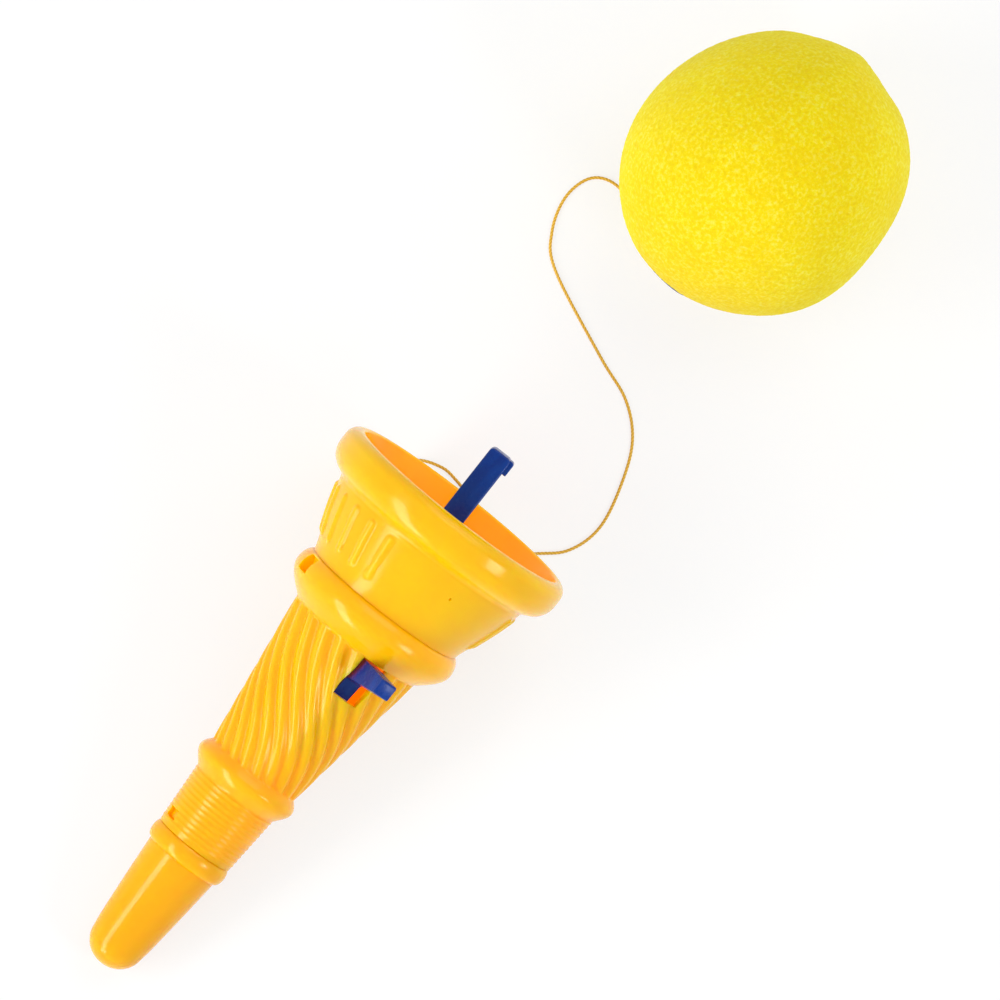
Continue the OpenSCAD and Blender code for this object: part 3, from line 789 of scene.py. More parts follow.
@dataclass
class ConeBody:
    """The ribbed grip, the ring, the spiral-fluted cone and the collar, in one moulding."""

    grip_s: float = 46.1
    grip_r: float = 12.9
    grip_end_r: float = 14.2
    ring_s: float = 66.5
    ring_foot_s: float = 65.8
    ring_r: float = 17.3
    spiral_s: float = 74.8
    spiral_r: float = 15.4
    collar_s: float = 124.7
    spiral_end_r: float = 22.3
    collar_r: float = 29.1
    belly_s: float = 133.57
    lip_s: float = 138.6
    lip_in_r: float = 26.8
    collar_h: float = 5.43
    lip_angle: float = 68.0
    ledge_s: float = 129.0
    ledge_r: float = 24.45
    ledge_top_s: float = 132.5
    seat_r: float = 19.54
    hollow: tuple[tuple[float, ...], ...] = ((46.1, 66.5, 74.8, 124.7), (10.55, 11.85, 12.6, 19.14))
    skin: tuple[tuple[float, ...], ...] = ((46, 66.5, 74.8, 124.6, 133, 137.1, 138.6),
                                           (12.0, 13.3, 14, 20.3, 26.9, 27.0, 26.78))
    ribs: int = 11
    rib_h: float = 0.16
    rib_width: float = 0.7
    rib_steps: int = 8
    flutes: int = 20
    flute_depth: float = 0.85
    flute_fade: float = 0.9
    flute_bow: float = 1.4
    flute_turn: float = 8.0
    twist: float = 88.0
    twist_skew: float = 0.88
    twist_swing: float = 0.4
    window_low: tuple[float, float, float] = (11.9, -4.6, 109.9)
    window_high: tuple[float, float, float] = (30.0, 4.6, 124.3)
    snap_turns: tuple[float, float] = (-57.0, 123.0)
    snap_s: float = 50.3
    snap_half: tuple[float, float] = (2.5, 1.6)
    snap_reach: tuple[float, float] = (9.5, 20.0)
    notch_turns: tuple[float, float] = (-63.0, 117.0)
    notch_low: tuple[float, float, float] = (25.5, -3.1, 132.2)
    notch_high: tuple[float, float, float] = (32.0, 3.1, 137.9)
    steps_a_flute: int = 14

    def spiral_radius(self, station: float) -> float:
        """Returns the radius over the ridges of the spiral part."""
        share = (station - self.spiral_s) / (self.collar_s - self.spiral_s)
        return self.spiral_r + (self.spiral_end_r - self.spiral_r) * share

    def inner_radius(self, station: float) -> float:
        """Returns the radius of the hollow below the collar."""
        return float(np.interp(station, *self.hollow))

    def grip_outline(self) -> list[Corner]:
        """Returns the grip with its fine half-round ribs.

        Returns:
            The corners in order.
        """
        pitch = (self.ring_s - self.grip_s) / (self.ribs + 1)
        outline = [Corner(self.grip_r, self.grip_s)]
        for rib in range(self.ribs):
            start = self.grip_s + (rib + 0.75) * pitch
            for step in range(self.rib_steps + 1):
                share = step / self.rib_steps
                station = start + self.rib_width * pitch * share
                base = float(np.interp(station, [self.grip_s, self.ring_s],
                                       [self.grip_r, self.grip_end_r]))
                rise = self.rib_h * math.sin(math.pi * share) ** 1.5
                outline.append(Corner(base + rise, station))
        return outline

    def ring_radius(self, station: float) -> float:
        """Returns the radius over the ring.

        Args:
            station: Distance along the axis, in millimetres.

        Returns:
            The radius there, in millimetres.
        """
        share = (station - self.ring_foot_s) / (self.spiral_s - self.ring_foot_s)
        base = self.grip_end_r + (self.spiral_r - self.grip_end_r) * share
        middle = (self.grip_end_r + self.spiral_r) / 2
        return base + (self.ring_r - middle) * math.sin(math.pi * share ** 1.2)

    def collar_radius(self, station: float) -> float:
        """Returns the radius over the collar below its widest point.

        Args:
            station: Distance along the axis, in millimetres.

        Returns:
            The radius there, in millimetres.
        """
        share = (station - self.collar_s) / (self.belly_s - self.collar_s)
        rise = self.collar_r - self.spiral_end_r
        return self.spiral_end_r + rise * math.sin(math.pi / 2 * share)

    def outline(self) -> list[Corner]:
        """Returns the whole outline, outside first.

        Returns:
            The corners in order.
        """
        lean = math.cos(math.radians(self.lip_angle))
        lip_out = (self.lip_in_r - self.collar_r * lean) / (1.0 - lean)
        outside = (self.grip_outline()
                   + curve(self.ring_foot_s, self.spiral_s - 0.1, 28, self.ring_radius)
                   + curve(self.spiral_s + 0.25, self.spiral_s + 1.0, 3, self.spiral_radius)
                   + curve(self.spiral_s + 2.0, self.collar_s - 1.5, 40, self.spiral_radius)
                   + curve(self.collar_s - 1.0, self.collar_s - 0.1, 4, self.spiral_radius)
                   + curve(self.collar_s, self.belly_s, 26, self.collar_radius)
                   + arc(lip_out, self.belly_s, self.collar_r - lip_out, self.collar_h,
                         6, self.lip_angle, 12))
        inner_lip = self.lip_in_r - 0.1
        inside = corners((inner_lip, self.lip_s - 0.3), (inner_lip, self.lip_s - 1.4),
                         (self.ledge_r, self.ledge_top_s), (self.ledge_r, self.ledge_s),
                         (self.seat_r, self.ledge_s), (self.seat_r, self.collar_s + 1.0))
        return outside + inside + curve(self.collar_s, self.grip_s, 32, self.inner_radius)

    def turn_at(self, station: float) -> float:
        """Returns the ridges' turn at a station in radians: slow at both ends, fast in between.

        Args:
            station: Distance along the axis, in millimetres.

        Returns:
            The angle, in radians.
        """
        share = (station - self.spiral_s) / (self.collar_s - self.spiral_s)
        share = min(max(share, 0.0), 1.0) ** self.twist_skew
        swing = self.twist_swing * math.sin(2 * math.pi * share) / (2 * math.pi)
        return math.radians(self.flute_turn - self.twist * (share - swing))

    def flute(self, point: Vector) -> Vector:
        """Sinks the valleys between the ridges and twists the cone.

        Args:
            point: A point of the plain cone.

        Returns:
            Its place on the fluted cone.
        """
        station = point.z
        reach = math.hypot(point.x, point.y)
        outer = reach > self.spiral_radius(station) - 0.4
        if outer and self.spiral_s < station < self.collar_s:
            angle = math.atan2(point.y, point.x)
            valley = 0.5 - 0.5 * math.cos(self.flutes * angle)
            ends = (smoothstep((station - self.spiral_s) / self.flute_fade)
                    * smoothstep((self.collar_s - station) / self.flute_fade))
            depth = self.flute_depth * self.spiral_radius(station) / self.spiral_r
            sunk = 1.0 - depth * ends * valley ** self.flute_bow / reach
            point = Vector((point.x * sunk, point.y * sunk, station))
        return Matrix.Rotation(self.turn_at(station), 3, "Z") @ point

    def build(self, finish: Material) -> None:
        """Builds, dresses and installs the cone.

        Args:
            finish: Its material.
        """
        form = Form().lathe(self.outline(), self.flutes * self.steps_a_flute).shape(self.flute)
        piece = form.place("cone_body", BARREL)
        window = BARREL.turned(TRIGGER_TURN)
        combine(piece, Form().block(self.window_low, self.window_high, 0.0), window)
        half, half_l = self.snap_half
        for turn in self.snap_turns:
            low = (self.snap_reach[0], -half, self.snap_s - half_l)
            high = (self.snap_reach[1], half, self.snap_s + half_l)
            combine(piece, Form().block(low, high, 0.0), BARREL.turned(turn))
        for turn in self.notch_turns:
            combine(piece, Form().block(self.notch_low, self.notch_high, 0.4), BARREL.turned(turn))
        # Painted shade and glow: the cone's inside gets the finish's deeper orange and its
        # emission; one side wall and the top wall of the trigger window are left out, so they stay
        # dark.
        points, reach = local_points(piece, window)
        low, high, near = self.window_low, self.window_high, 0.1
        out, aside, station = points.T
        shaded = ((out > 0) & (abs(aside) < high[1] + near) & (station > low[2] - near)
                  & ((abs(aside - low[1]) < near) | (abs(station - high[2]) < near)))
        outer = np.interp(station, *self.skin)
        paint(piece, "depth", np.where((reach < outer) & ~shaded, 1.0, 0.0))
        install(piece, Body.SHOOTER, "cone_body", finish)


@dataclass
class Cup:
    """The flared cup with its rolled rim and two groups of raised bars."""

    foot_s: float = 130.6
    foot_r: float = 24.3
    foot_h: float = 2.0
    lip_s: float = 137.2
    waist_r: float = 25.8
    neck_s: float = 160.9
    neck_r: float = 34.0
    neck_fillet: float = 2.3
    waist_flare: float = 0.7
    flare_len: float = 5.0
    belly: float = 0.35
    rim_s: float = 169.4
    mouth_r: float = 34.4
    roll_r: float = 6.3
    rim_drop: float = 7.0
    rim_round: float = 3.8
    mouth_round: float = 0.8
    wall: float = 2.0
    floor_s: float = 133.0
    bore_r: float = 5.3
    hole_out: float = 16.0
    hole_r: float = 0.7
    bars: int = 7
    bar_step: float = 14.0
    bar_half_r: float = 1.7
    bar_half_len: float = 6.8
    bar_middle_s: float = 151.3
    bar_out: float = 0.75
    gate_turn: float = 27.0
    gate_s: float = 154.6
    gate_r: float = 0.45
    groups: tuple[float, float] = (-60.0, 120.0)
    skin: tuple[tuple[float, ...], ...] = ((130.6, 137.2, 149, 160.9, 169, 175.7),
                                           (24.0, 25.0, 30.2, 33.0, 35.3, 36.9))
    steps: int = 400

    def wall_radius(self, station: float) -> float:
        """Returns the outer radius of the wall between the waist and the neck.

        Args:
            station: Distance along the axis, in millimetres.

        Returns:
            The radius there, in millimetres.
        """
        share = (station - self.lip_s) / (self.neck_s - self.lip_s)
        rise = (1.0 - self.belly) * share + self.belly * math.sin(math.pi / 2 * share)
        flare = self.waist_flare * max(1.0 - (station - self.lip_s) / self.flare_len, 0.0) ** 2
        return self.waist_r + (self.neck_r - self.waist_r) * rise + flare

    def outline(self) -> list[Corner]:
        """Returns the whole outline, outside first.

        Returns:
            The corners in order.
        """
        edge_r = self.mouth_r + self.roll_r - self.rim_round
        crest = self.rim_s + self.roll_r
        fillet = self.neck_fillet
        foot_in = self.foot_r - self.wall
        outside = (corners((self.bore_r, self.foot_s), (self.foot_r, self.foot_s, 0.4),
                           (self.foot_r, self.foot_s + self.foot_h))
                   + curve(self.lip_s, self.neck_s - 1.1, 48, self.wall_radius)
                   + arc(self.neck_r - 0.1 + fillet, self.neck_s - 0.8, fillet, fillet, 178, 108, 7)
                   + arc(self.mouth_r, self.rim_s, self.roll_r, self.rim_drop, -71, 0, 18)
                   + arc(edge_r, crest - self.rim_round, self.rim_round, self.rim_round, 0, 90, 14))
        soft = self.mouth_round
        inside = (arc(edge_r, crest - soft, soft, soft, 108, 180, 5)
                  + curve(self.neck_s, self.lip_s, 24, lambda s: self.wall_radius(s) - self.wall)
                  + corners((foot_in, self.floor_s + 1.2, 0.6), (foot_in - 1.2, self.floor_s, 0.5),
                            (self.bore_r, self.floor_s, 0.3)))
        return outside + inside

    def raise_bars(self, point: Vector) -> Vector:
        """Raises the bars out of the wall.

        Args:
            point: A point of the plain cup.

        Returns:
            Its place with the bars raised.
        """
        reach = math.hypot(point.x, point.y)
        station = point.z
        if not self.lip_s < station < self.neck_s - 1.0 or reach < self.wall_radius(station) - 0.5:
            return point
        middle = self.bar_middle_s
        slope = math.atan2(self.wall_radius(middle + 3) - self.wall_radius(middle - 3), 6.0)
        along = max(abs(station - middle) / math.cos(slope) - self.bar_half_len, 0.0)
        angle = math.degrees(math.atan2(point.y, point.x))
        reach_out = 0.0
        for group in self.groups:
            turn = (angle - group + 180) % 360 - 180
            bar = min(max(round(turn / self.bar_step), -(self.bars // 2)), self.bars // 2)
            across = math.radians(turn - bar * self.bar_step) * reach
            gap = math.hypot(along, across)
            if gap < self.bar_half_r:
                dome = math.sqrt(self.bar_half_r ** 2 - gap ** 2) - (self.bar_half_r - self.bar_out)
                reach_out = max(reach_out, dome)
        grown = 1.0 + reach_out / reach
        return Vector((point.x * grown, point.y * grown, station))

    def build(self, finish: Material) -> None:
        """Builds, dresses and installs the cup.

        Args:
            finish: Its material.
        """
        piece = Form().lathe(self.outline(), self.steps).shape(self.raise_bars).place("cup", BARREL)
        hole = Form().rod(self.hole_r, self.foot_s - 1, self.floor_s + 1, 24)
        combine(piece, hole.moved(Matrix.Translation((-self.hole_out, 0, 0))), BARREL)
        skin_r = self.wall_radius(self.gate_s)
        gate = Form().rod(self.gate_r, skin_r - 0.8, skin_r + 1.0, 16)
        combine(piece, gate, BARREL.turned(self.gate_turn).across(self.gate_s))
        # Painted shade and glow: the cup's inside and its foot get the finish's deeper orange and
        # its emission.
        points, reach = local_points(piece, BARREL)
        depth = np.clip((np.interp(points[:, 2], *self.skin) - reach) / 0.8, 0.0, 1.0)
        paint(piece, "depth", np.where(points[:, 2] < self.lip_s + 0.8, 1.0, depth))
        install(piece, Body.SHOOTER, "cup", finish)


@dataclass
class Plunger:
    """The sprung plunger: peg, head, round rod with its groove, and a flat bar with a hook."""

    peg_s: float = 100.4
    peg_r: float = 3.6
    head_s: float = 108.4
    head_end: float = 112.4
    head_r: float = 6.2
    rod_r: float = 5.0
    groove_s: float = 147.8
    groove_end: float = 151.8
    groove_r: float = 3.5
    bar_s: float = 157.8
    bar_half: float = 3.7
    tip_s: float = 196.0
    tip_round: float = 1.5
    hook_out: float = 1.2
    hook_len: float = 5.0
    hook_w: float = 5.0

    def build(self, finish: Material) -> None:
        """Builds, dresses and installs the plunger.

        Args:
            finish: Its material.
        """
        rod = corners((0, self.peg_s), (self.peg_r, self.peg_s, 0.8), (self.peg_r, self.head_s),
                      (self.head_r, self.head_s, 0.4), (self.head_r, self.head_end, 0.4),
                      (self.rod_r, self.head_end), (self.rod_r, self.groove_s, 0.25),
                      (self.groove_r, self.groove_s), (self.groove_r, self.groove_end),
                      (self.rod_r, self.groove_end, 0.25), (self.rod_r, self.bar_s, 0.5),
                      (0, self.bar_s))
        piece = Form().lathe(rod, 96).place("plunger", BARREL)
        half, root, tip = self.bar_half, self.bar_s - 1, self.tip_s
        bar = corners((-half, root), (half, root), (half, tip, self.tip_round),
                      (-half, tip, self.tip_round))
        low, out, inside = tip - self.hook_len, -half - self.hook_out, -half + 1.6
        hook = corners((out, low, 0.3), (inside, low), (inside, tip - 0.4), (out, tip - 0.05, 1.3))
        for plate in (Form().plate(bar, 2 * half, 0.55), Form().plate(hook, self.hook_w, 0.35)):
            combine(piece, plate, BARREL.turned(-90), Join.ADD)
        install(piece, Body.PLUNGER, "plunger", finish)


@dataclass
class Trigger:
    """The trigger: tail, eye, leg under the cone's wall, catch and blade."""

    width: float = 5.6
    pivot_out: float = 12.3
    pivot_s: float = 101.0
    bore_r: float = 1.15
    tail_in: float = 10.2
    tail_out: float = 13.0
    tail_s: float = 88.5
    pocket_r: float = 2.3
    pocket_s: float = 91.5
    pocket_end: float = 12.0

    def outline(self) -> list[Corner]:
        """Returns the lever's outline in the trigger's plane.

        Returns:
            The corners in order.
        """
        tail = corners((self.tail_in, self.tail_s, 0.6), (self.tail_out, self.tail_s, 0.6))
        back = corners((14.35, 99.57), (14.75, 101.6), (14.8, 103.5), (15.8, 109.9),
                       (16.7, 116.0, 1.0))
        blade = corners((36.4, 119.0), (37.1, 119.1, 0.7), (37.1, 124.0, 0.7), (36.3, 124.0),
                        (17.6, 123.6, 0.5), (13.5, 123.6, 0.4))
        catch = corners((13.5, 121.2, 0.3), (5.3, 121.2, 0.4), (5.3, 118.4, 0.4),
                        (13.5, 118.4, 0.3))
        eye = corners((13.1, 109.9), (10.6, 103.0), (9.85, 101.4), (9.9, 99.6), (10.2, 98.6))
        return tail + back + blade + catch + eye

    def build(self, finish: Material) -> None:
        """Builds, dresses and installs the trigger.

        Args:
            finish: Its material.
        """
        plane = BARREL.turned(TRIGGER_TURN)
        piece = Form().plate(self.outline(), self.width, 0.45).place("trigger", plane)
        bore = Form().rod(self.bore_r, -self.width, self.width, 40)
        pocket = Form().rod(self.pocket_r, self.tail_in - 1, self.pocket_end, 40)
        for form, out, station, axis in ((bore, self.pivot_out, self.pivot_s, "X"),
                                         (pocket, 0, self.pocket_s, "Y")):
            turn = Matrix.Rotation(math.pi / 2, 4, axis)
            combine(piece, form.moved(Matrix.Translation((out, 0, station)) @ turn), plane)
        install(piece, Body.TRIGGER, "trigger", finish)


@dataclass
class Coil:
    """A compression spring with a closed turn at each end.

    Attributes:
        name: Name of the piece and of its CAD node.
        wire_r: Radius of the wire.
        mean_r: Mean radius of the coil.
        start: Where it starts on its own axis.
        end: Where it ends on its own axis.
        curls: Number of open curls.
        closed_gap: Pitch of the closed curl at each end, in wire widths.
    """

    name: str
    wire_r: float
    mean_r: float
    start: float
    end: float
    curls: int
    closed_gap: float = 1.04
    steps_a_curl: int = 40
    sides: int = 12

    def build(self, placement: Placement, joint: str, keep: float, finish: Material) -> None:
        """Builds, dresses and installs the spring.

        Args:
            placement: Where the spring's axis lies.
            joint: The joint that presses it against its fixed start; not used.
            keep: Share of its length left at the joint's limit; not used.
            finish: Its material.
        """
        form = Form()
        bm = form.bm
        wire = bmesh.ops.create_circle(bm, cap_ends=True, segments=self.sides, radius=self.wire_r,
                                       matrix=Matrix.Rotation(math.pi / 2, 4, "X"))
        bmesh.ops.translate(bm, verts=wire["verts"], vec=(self.mean_r, 0, self.start + self.wire_r))
        tip = bm.faces[:]
        closed = 2 * self.wire_r * self.closed_gap
        rise = self.end - self.start - 2 * self.wire_r - 2 * closed
        ring = tip[0].verts[:] + tip[0].edges[:]
        for turns, height in ((1, closed), (self.curls, rise), (1, closed)):
            steps = turns * self.steps_a_curl
            grown = bmesh.ops.spin(bm, geom=ring, axis=(0, 0, 1), cent=(0, 0, 0), steps=steps,
                                   angle=2 * math.pi * turns, dvec=(0, 0, height / steps))
            ring = grown["geom_last"]
        bmesh.ops.edgenet_fill(bm, edges=[g for g in ring if isinstance(g, bmesh.types.BMEdge)])
        bmesh.ops.recalc_face_normals(bm, faces=bm.faces[:])
        piece = form.place(self.name, placement)
        install(piece, Body.SHOOTER, self.name, finish)
        anchor = placement.point(0, 0, self.start)
        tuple(placement.z_axis)
        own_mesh(piece)


@dataclass
class FoamBall:
    """The foam ball, a little out of round, with the recess for its socket.

    Attributes:
        cuts: Number of cuts along each side of the cube that it is rounded from.
        lobes: For each wave round the outline its number, size in millimetres and phase in degrees,
            as seen along the viewing direction.
        dents: For each dent in the outline its angle and spread in degrees and its depth.
        seat: Swell of the pressed place round the socket's flange.
        seat_turn: Where that place ends and how wide its edge is, in degrees from the socket.
        skin_drop: How far the skin lies below the CAD ball's.
        pit_size: Width of the dents in its skin.
        pit_depth: Depth of the dents.
        recess_r: Radius of the recess for the socket.
        recess_end: Depth of the recess below the ball's radius.
        flange_r: Radius of the recess for the flange.
        flange_t: Depth of the recess for the flange.
    """

    cuts: int = 120
    lobes: tuple[tuple[int, float, float], ...] = (
        (0, -0.2, 0.0), (2, 1.897, 79.9), (3, 0.365, 127.0), (4, 0.18, 42.5), (5, 0.261, 5.1),
        (6, 0.105, -38.2))
    dents: tuple[tuple[float, float, float], ...] = ((34, 8, 0.75), (50.5, 5, -0.6), (70, 9, 0.65))
    seat: float = 0.85
    seat_turn: tuple[float, float] = (13.4, 3.4)
    skin_drop: float = 0.06
    pit_size: float = 1.1
    pit_depth: float = 0.12
    recess_r: float = 7.5
    recess_end: float = 15.2
    flange_r: float = 10.3
    flange_t: float = 1.6

    def relief(self, view: Matrix) -> Callable[[Vector], Vector]:
        """Returns the rule that shapes the round ball.

        Args:
            view: Turns the row frame into right, up and toward the viewer.

        Returns:
            The rule, for points about the ball's middle.
        """
        def rule(point: Vector) -> Vector:
            """Returns where a point of the ball's skin goes.

            Args:
                point: The point, about the ball's middle.

            Returns:
                Its place with the lobes, dents, seat and pits.
            """
            way = point.normalized()
            seen = view @ way
            edge = 1.0 - seen.z ** 2
            angle = math.atan2(seen.y, seen.x)
            swell = sum(size * math.cos(number * angle - math.radians(phase))
                        for number, size, phase in self.lobes)
            for place, spread, depth in self.dents:
                aside = (math.degrees(angle) - place) / spread
                swell -= depth * edge ** 3 * math.exp(-aside ** 2)
            away = math.degrees(way.angle(SOCKET.z_axis))
            near, width = self.seat_turn
            swell += (self.seat - swell) * (1.0 - smoothstep((away - near) / width))
            pits = noise.fractal(way * BALL_R / self.pit_size, 0.6, 2.0, 3)
            reach = BALL_R - self.skin_drop + edge * swell - self.pit_depth * (0.6 + pits)
            return way * reach

        return rule

    def build(self, view: Matrix, finish: Material) -> None:
        """Builds, dresses and installs the ball.

        Args:
            view: Turns the row frame into right, up and toward the viewer.
            finish: Its material.
        """
        form = Form()
        bm = form.bm
        bmesh.ops.create_cube(bm, size=2.0)
        bmesh.ops.subdivide_edges(bm, edges=bm.edges[:], cuts=self.cuts, use_grid_fill=True)
        form.shape(lambda point: Vector([math.tan(c * math.pi / 4) for c in point]))
        form.shape(self.relief(view))
        ball = form.place("foam_ball", Placement(BALL_MIDDLE, ROW.x_axis, ROW.z_axis))
        for radius, deep in ((self.recess_r, BALL_R - self.recess_end),
                             (self.flange_r, SOCKET_FACE - self.flange_t - 0.15)):
            combine(ball, Form().rod(radius, deep, BALL_R + 5, 64), SOCKET)
        install(ball, Body.BALL, "foam_ball", finish, crease=None)


@dataclass
class BallSocket:
    """The socket in the ball that takes the plunger's tip, with its flange and string hole."""

    bore_r: float = 6.2
    depth: float = 13.0
    wall: float = 1.0
    end_wall: float = 1.6
    flange_r: float = 10.0
    flange_t: float = 1.5
    hole_out: float = 8.6
    hole_r: float = 0.7

    def build(self, finish: Material) -> None:
        """Builds, dresses and installs the socket.

        Args:
            finish: Its material.
        """
        face, under, floor = SOCKET_FACE, SOCKET_FACE - self.flange_t, SOCKET_FACE - self.depth
        low, out = floor - self.end_wall, self.bore_r + self.wall
        outline = corners((0, low), (out, low, 0.5), (out, under), (self.flange_r, under, 0.35),
                          (self.flange_r, face, 0.45), (self.bore_r, face, 0.5),
                          (self.bore_r, floor, 0.4), (0, floor))
        piece = Form().lathe(outline, 128).place("ball_socket", SOCKET)
        hole = Form().rod(self.hole_r, under - 1, face + 1, 24)
        combine(piece, hole.moved(Matrix.Translation((-self.hole_out, 0, 0))), SOCKET)
        install(piece, Body.BALL, "ball_socket", finish)


@dataclass
class TieString:
    """The string that ties the ball to the launcher, with a knot behind each hole.

    Attributes:
        length: Real length of the string, in metres; not used.
        diameter: Its real diameter, in metres.
        route: Points that it runs through, in millimetres of the row frame.
        strands: Number of strands twisted together.
        lay: Length of one full twist of the strands, in millimetres.
        span_steps: Number of steps between two points of the route.
        ring_step: Distance between two rings of its mesh, in millimetres.
        sides: Number of sides of a ring.
        lobe: How far a strand stands out of the groove between two, as a share of the radius.
        knot_r: Largest radius of a knot.
        knot_len: Length of a knot.
        knot_groove: Depth of the grooves between its strands, as a share of its radius.
        knot_slant: Turn of its strands from one end to the other.
        lift: Least height of its skin above the table.
    """

    length: float = 0.3488
    diameter: float = 0.001
    route: tuple[tuple[float, float, float], ...] = (
        (-44.5, 6, 16.8), (-41.2, 6, 17.4), (-38.3, 6.1, 17.2), (-35.6, 6.2, 13.6),
        (-32.4, 6.3, 10.8), (-27.9, 6.4, 9.7), (-19.5, 6.5, 8.3), (-11.3, 6.6, 7.8),
        (-4.4, 6.8, 7.1), (0.8, 7, 6.65), (3.5, 7.1, 6.45), (4.75, 7.2, 5.8), (5.05, 7.5, 4.4),
        (5.35, 8.6, 1.6), (6.2, 12, 0.5), (6.6, 17.5, 0.5), (3.8, 24.8, 0.5), (-3, 30.2, 0.5),
        (-12, 28.2, 0.5), (-17, 17, 0.5), (-12, -1, 0.5), (3.3, -20, 0.5), (11, -27.8, 0.5),
        (22, -30.7, 0.5), (36, -27.8, 0.5), (48.5, -22.3, 0.5),
        (57, -13, 0.5), (62.5, 1, 0.5), (74.4, 27.4, 0.5), (83, 35.6, 0.5), (94, 38.9, 0.5),
        (103, 36.5, 0.5), (106.2, 29.5, 0.5), (103.5, 19, 0.5), (97.5, 8, 0.5), (94.2, 4, 1.6),
        (92.9, 2.6, 5), (91.8, 2, 14), (91.6, 1.7, 20.4), (94.9, 1.3, 22.4))
    strands: int = 3
    lay: float = 3.4
    span_steps: int = 12
    ring_step: float = 0.3
    sides: int = 12
    lobe: float = 0.17
    knot_r: float = 1.3
    knot_len: float = 2.4
    knot_groove: float = 0.16
    knot_slant: float = 7.0
    lift: float = 0.02

    def middle_line(self) -> list[Vector]:
        """Returns evenly spaced points along the smooth middle line, in millimetres.

        Returns:
            The points from the launcher to the ball.
        """
        route = [Vector(p) for p in self.route]
        route = [route[0]] + route + [route[-1]]
        radius = self.diameter / MM / 2
        fine = [route[1]]
        for a, b, c, d in zip(route, route[1:], route[2:], route[3:]):
            for step in range(1, self.span_steps + 1):
                u = step / self.span_steps
                point = (2 * b + (c - a) * u + (2 * a - 5 * b + 4 * c - d) * u ** 2
                         + (3 * b - a - 3 * c + d) * u ** 3) / 2
                point.z = max(point.z, radius)
                fine.append(point)
        done = np.cumsum([0.0] + [(q - p).length for p, q in zip(fine, fine[1:])])
        count = int(done[-1] / self.ring_step)
        places = np.linspace(0.0, done[-1], count + 1)
        columns = [np.interp(places, done, [p[i] for p in fine]) for i in range(3)]
        return [Vector(p) for p in zip(*columns)]

    def build(self, finish: Material) -> Piece:
        """Builds the string, which bends between the launcher and the ball.

        Args:
            finish: Its material.

        Returns:
            The string.
        """
        line = self.middle_line()
        form = Form()
        bm = form.bm
        radius = self.diameter / MM / 2
        crowns: list[float] = []
        rings: list[list[Vert]] = []
        side = Vector((0, 1, 0))
        travelled = 0.0
        for index, point in enumerate(line):
            ahead = line[min(index + 1, len(line) - 1)]
            behind = line[max(index - 1, 0)]
            along = (ahead - behind).normalized()
            side = (side - side.dot(along) * along).normalized()
            up = along.cross(side)
            travelled += (point - behind).length
            ring = []
            for step in range(self.sides):
                angle = 2 * math.pi * step / self.sides
                wave = math.cos(self.strands * (angle - 2 * math.pi * travelled / self.lay))
                crown = (1.0 + wave) / 2
                reach = radius * (1.0 - self.lobe * (1.0 - crown))
                spot = point + (math.cos(angle) * side + math.sin(angle) * up) * reach
                spot.z = max(spot.z, self.lift)
                ring.append(bm.verts.new(spot))
                crowns.append(crown)
            rings.append(ring)
        for low, high in zip(rings, rings[1:]):
            for i in range(self.sides):
                bm.faces.new((low[i - 1], low[i], high[i], high[i - 1]))
        bm.faces.new(rings[0])
        bm.faces.new(rings[-1])
        bmesh.ops.recalc_face_normals(bm, faces=bm.faces[:])
        piece = form.place("string", ROW)
        # The crown values drive the thread's painted shade in the grooves between strands.
        paint(piece, "crown", np.array(crowns))
        install(piece, None, "string", finish, crease=None)
        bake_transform(piece)
        return piece

    def knot(self, name: str, body: Body, placement: Placement, start: float,
             finish: Material) -> Piece:
        """Builds one overhand knot as a tight lump of crossing strands.

        Args:
            name: Name of the knot and of its CAD node.
            body: The body that it rides on.
            placement: The axis through its hole.
            start: Station of its lower end.
            finish: Its material.

        Returns:
            The knot.
        """
        form = Form()
        bm = form.bm
        bmesh.ops.create_uvsphere(bm, u_segments=48, v_segments=32, radius=1.0)
        crowns: list[float] = []

        def lump(point: Vector) -> Vector:
            """Turns a round ball into the lump, and keeps how far each point stands out.

            Args:
                point: A point of the ball, whose radius is 1.

            Returns:
                Its place in the knot.
            """
            angle = math.atan2(point.y, point.x)
            wave = 0.5 + 0.5 * math.cos(2 * angle + self.knot_slant * point.z)
            crowns.append(wave)
            reach = 1.0 - self.knot_groove + self.knot_groove * wave
            return Vector((point.x * reach * self.knot_r, point.y * reach * self.knot_r,
                           start + self.knot_len * (0.5 + 0.5 * point.z)))

        piece = form.shape(lump).place(name, placement)
        # The crown values drive the thread's painted shade in the grooves between strands.
        paint(piece, "crown", np.array(crowns))
        install(piece, body, name, finish, crease=None)
        return piece

    def declare(self) -> None:
        line = self.middle_line()
        path = [tuple(c * MM for c in p) for p in line[::4] + line[-1:]]
        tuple(path[0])


def seen_straight(tree: bpy.types.NodeTree) -> Socket:
    """Returns 1 for camera, glossy and transmission rays, and 0 for all others.

    Args:
        tree: The node tree of a material or of the world.

    Returns:
        The socket with the number.
    """
    path = tree.nodes.new("ShaderNodeLightPath")
    seen = path.outputs["Is Camera Ray"]
    for ray in ("Is Glossy Ray", "Is Transmission Ray"):
        either = tree.nodes.new("ShaderNodeMath")
        either.operation = "MAXIMUM"
        tree.links.new(seen, either.inputs[0])
        tree.links.new(path.outputs[ray], either.inputs[1])
        seen = either.outputs[0]
    return seen


@dataclass(frozen=True)
class Lamp:
    """A soft rectangular lamp.

    Attributes:
        name: Name of the lamp.
        toward: Direction from the toy to the lamp, along the picture's right, up and viewer.
        sides: Its two sides, in metres.
        power: Its power in watts.
    """

    name: str
    toward: tuple[float, float, float]
    sides: tuple[float, float]
    power: float


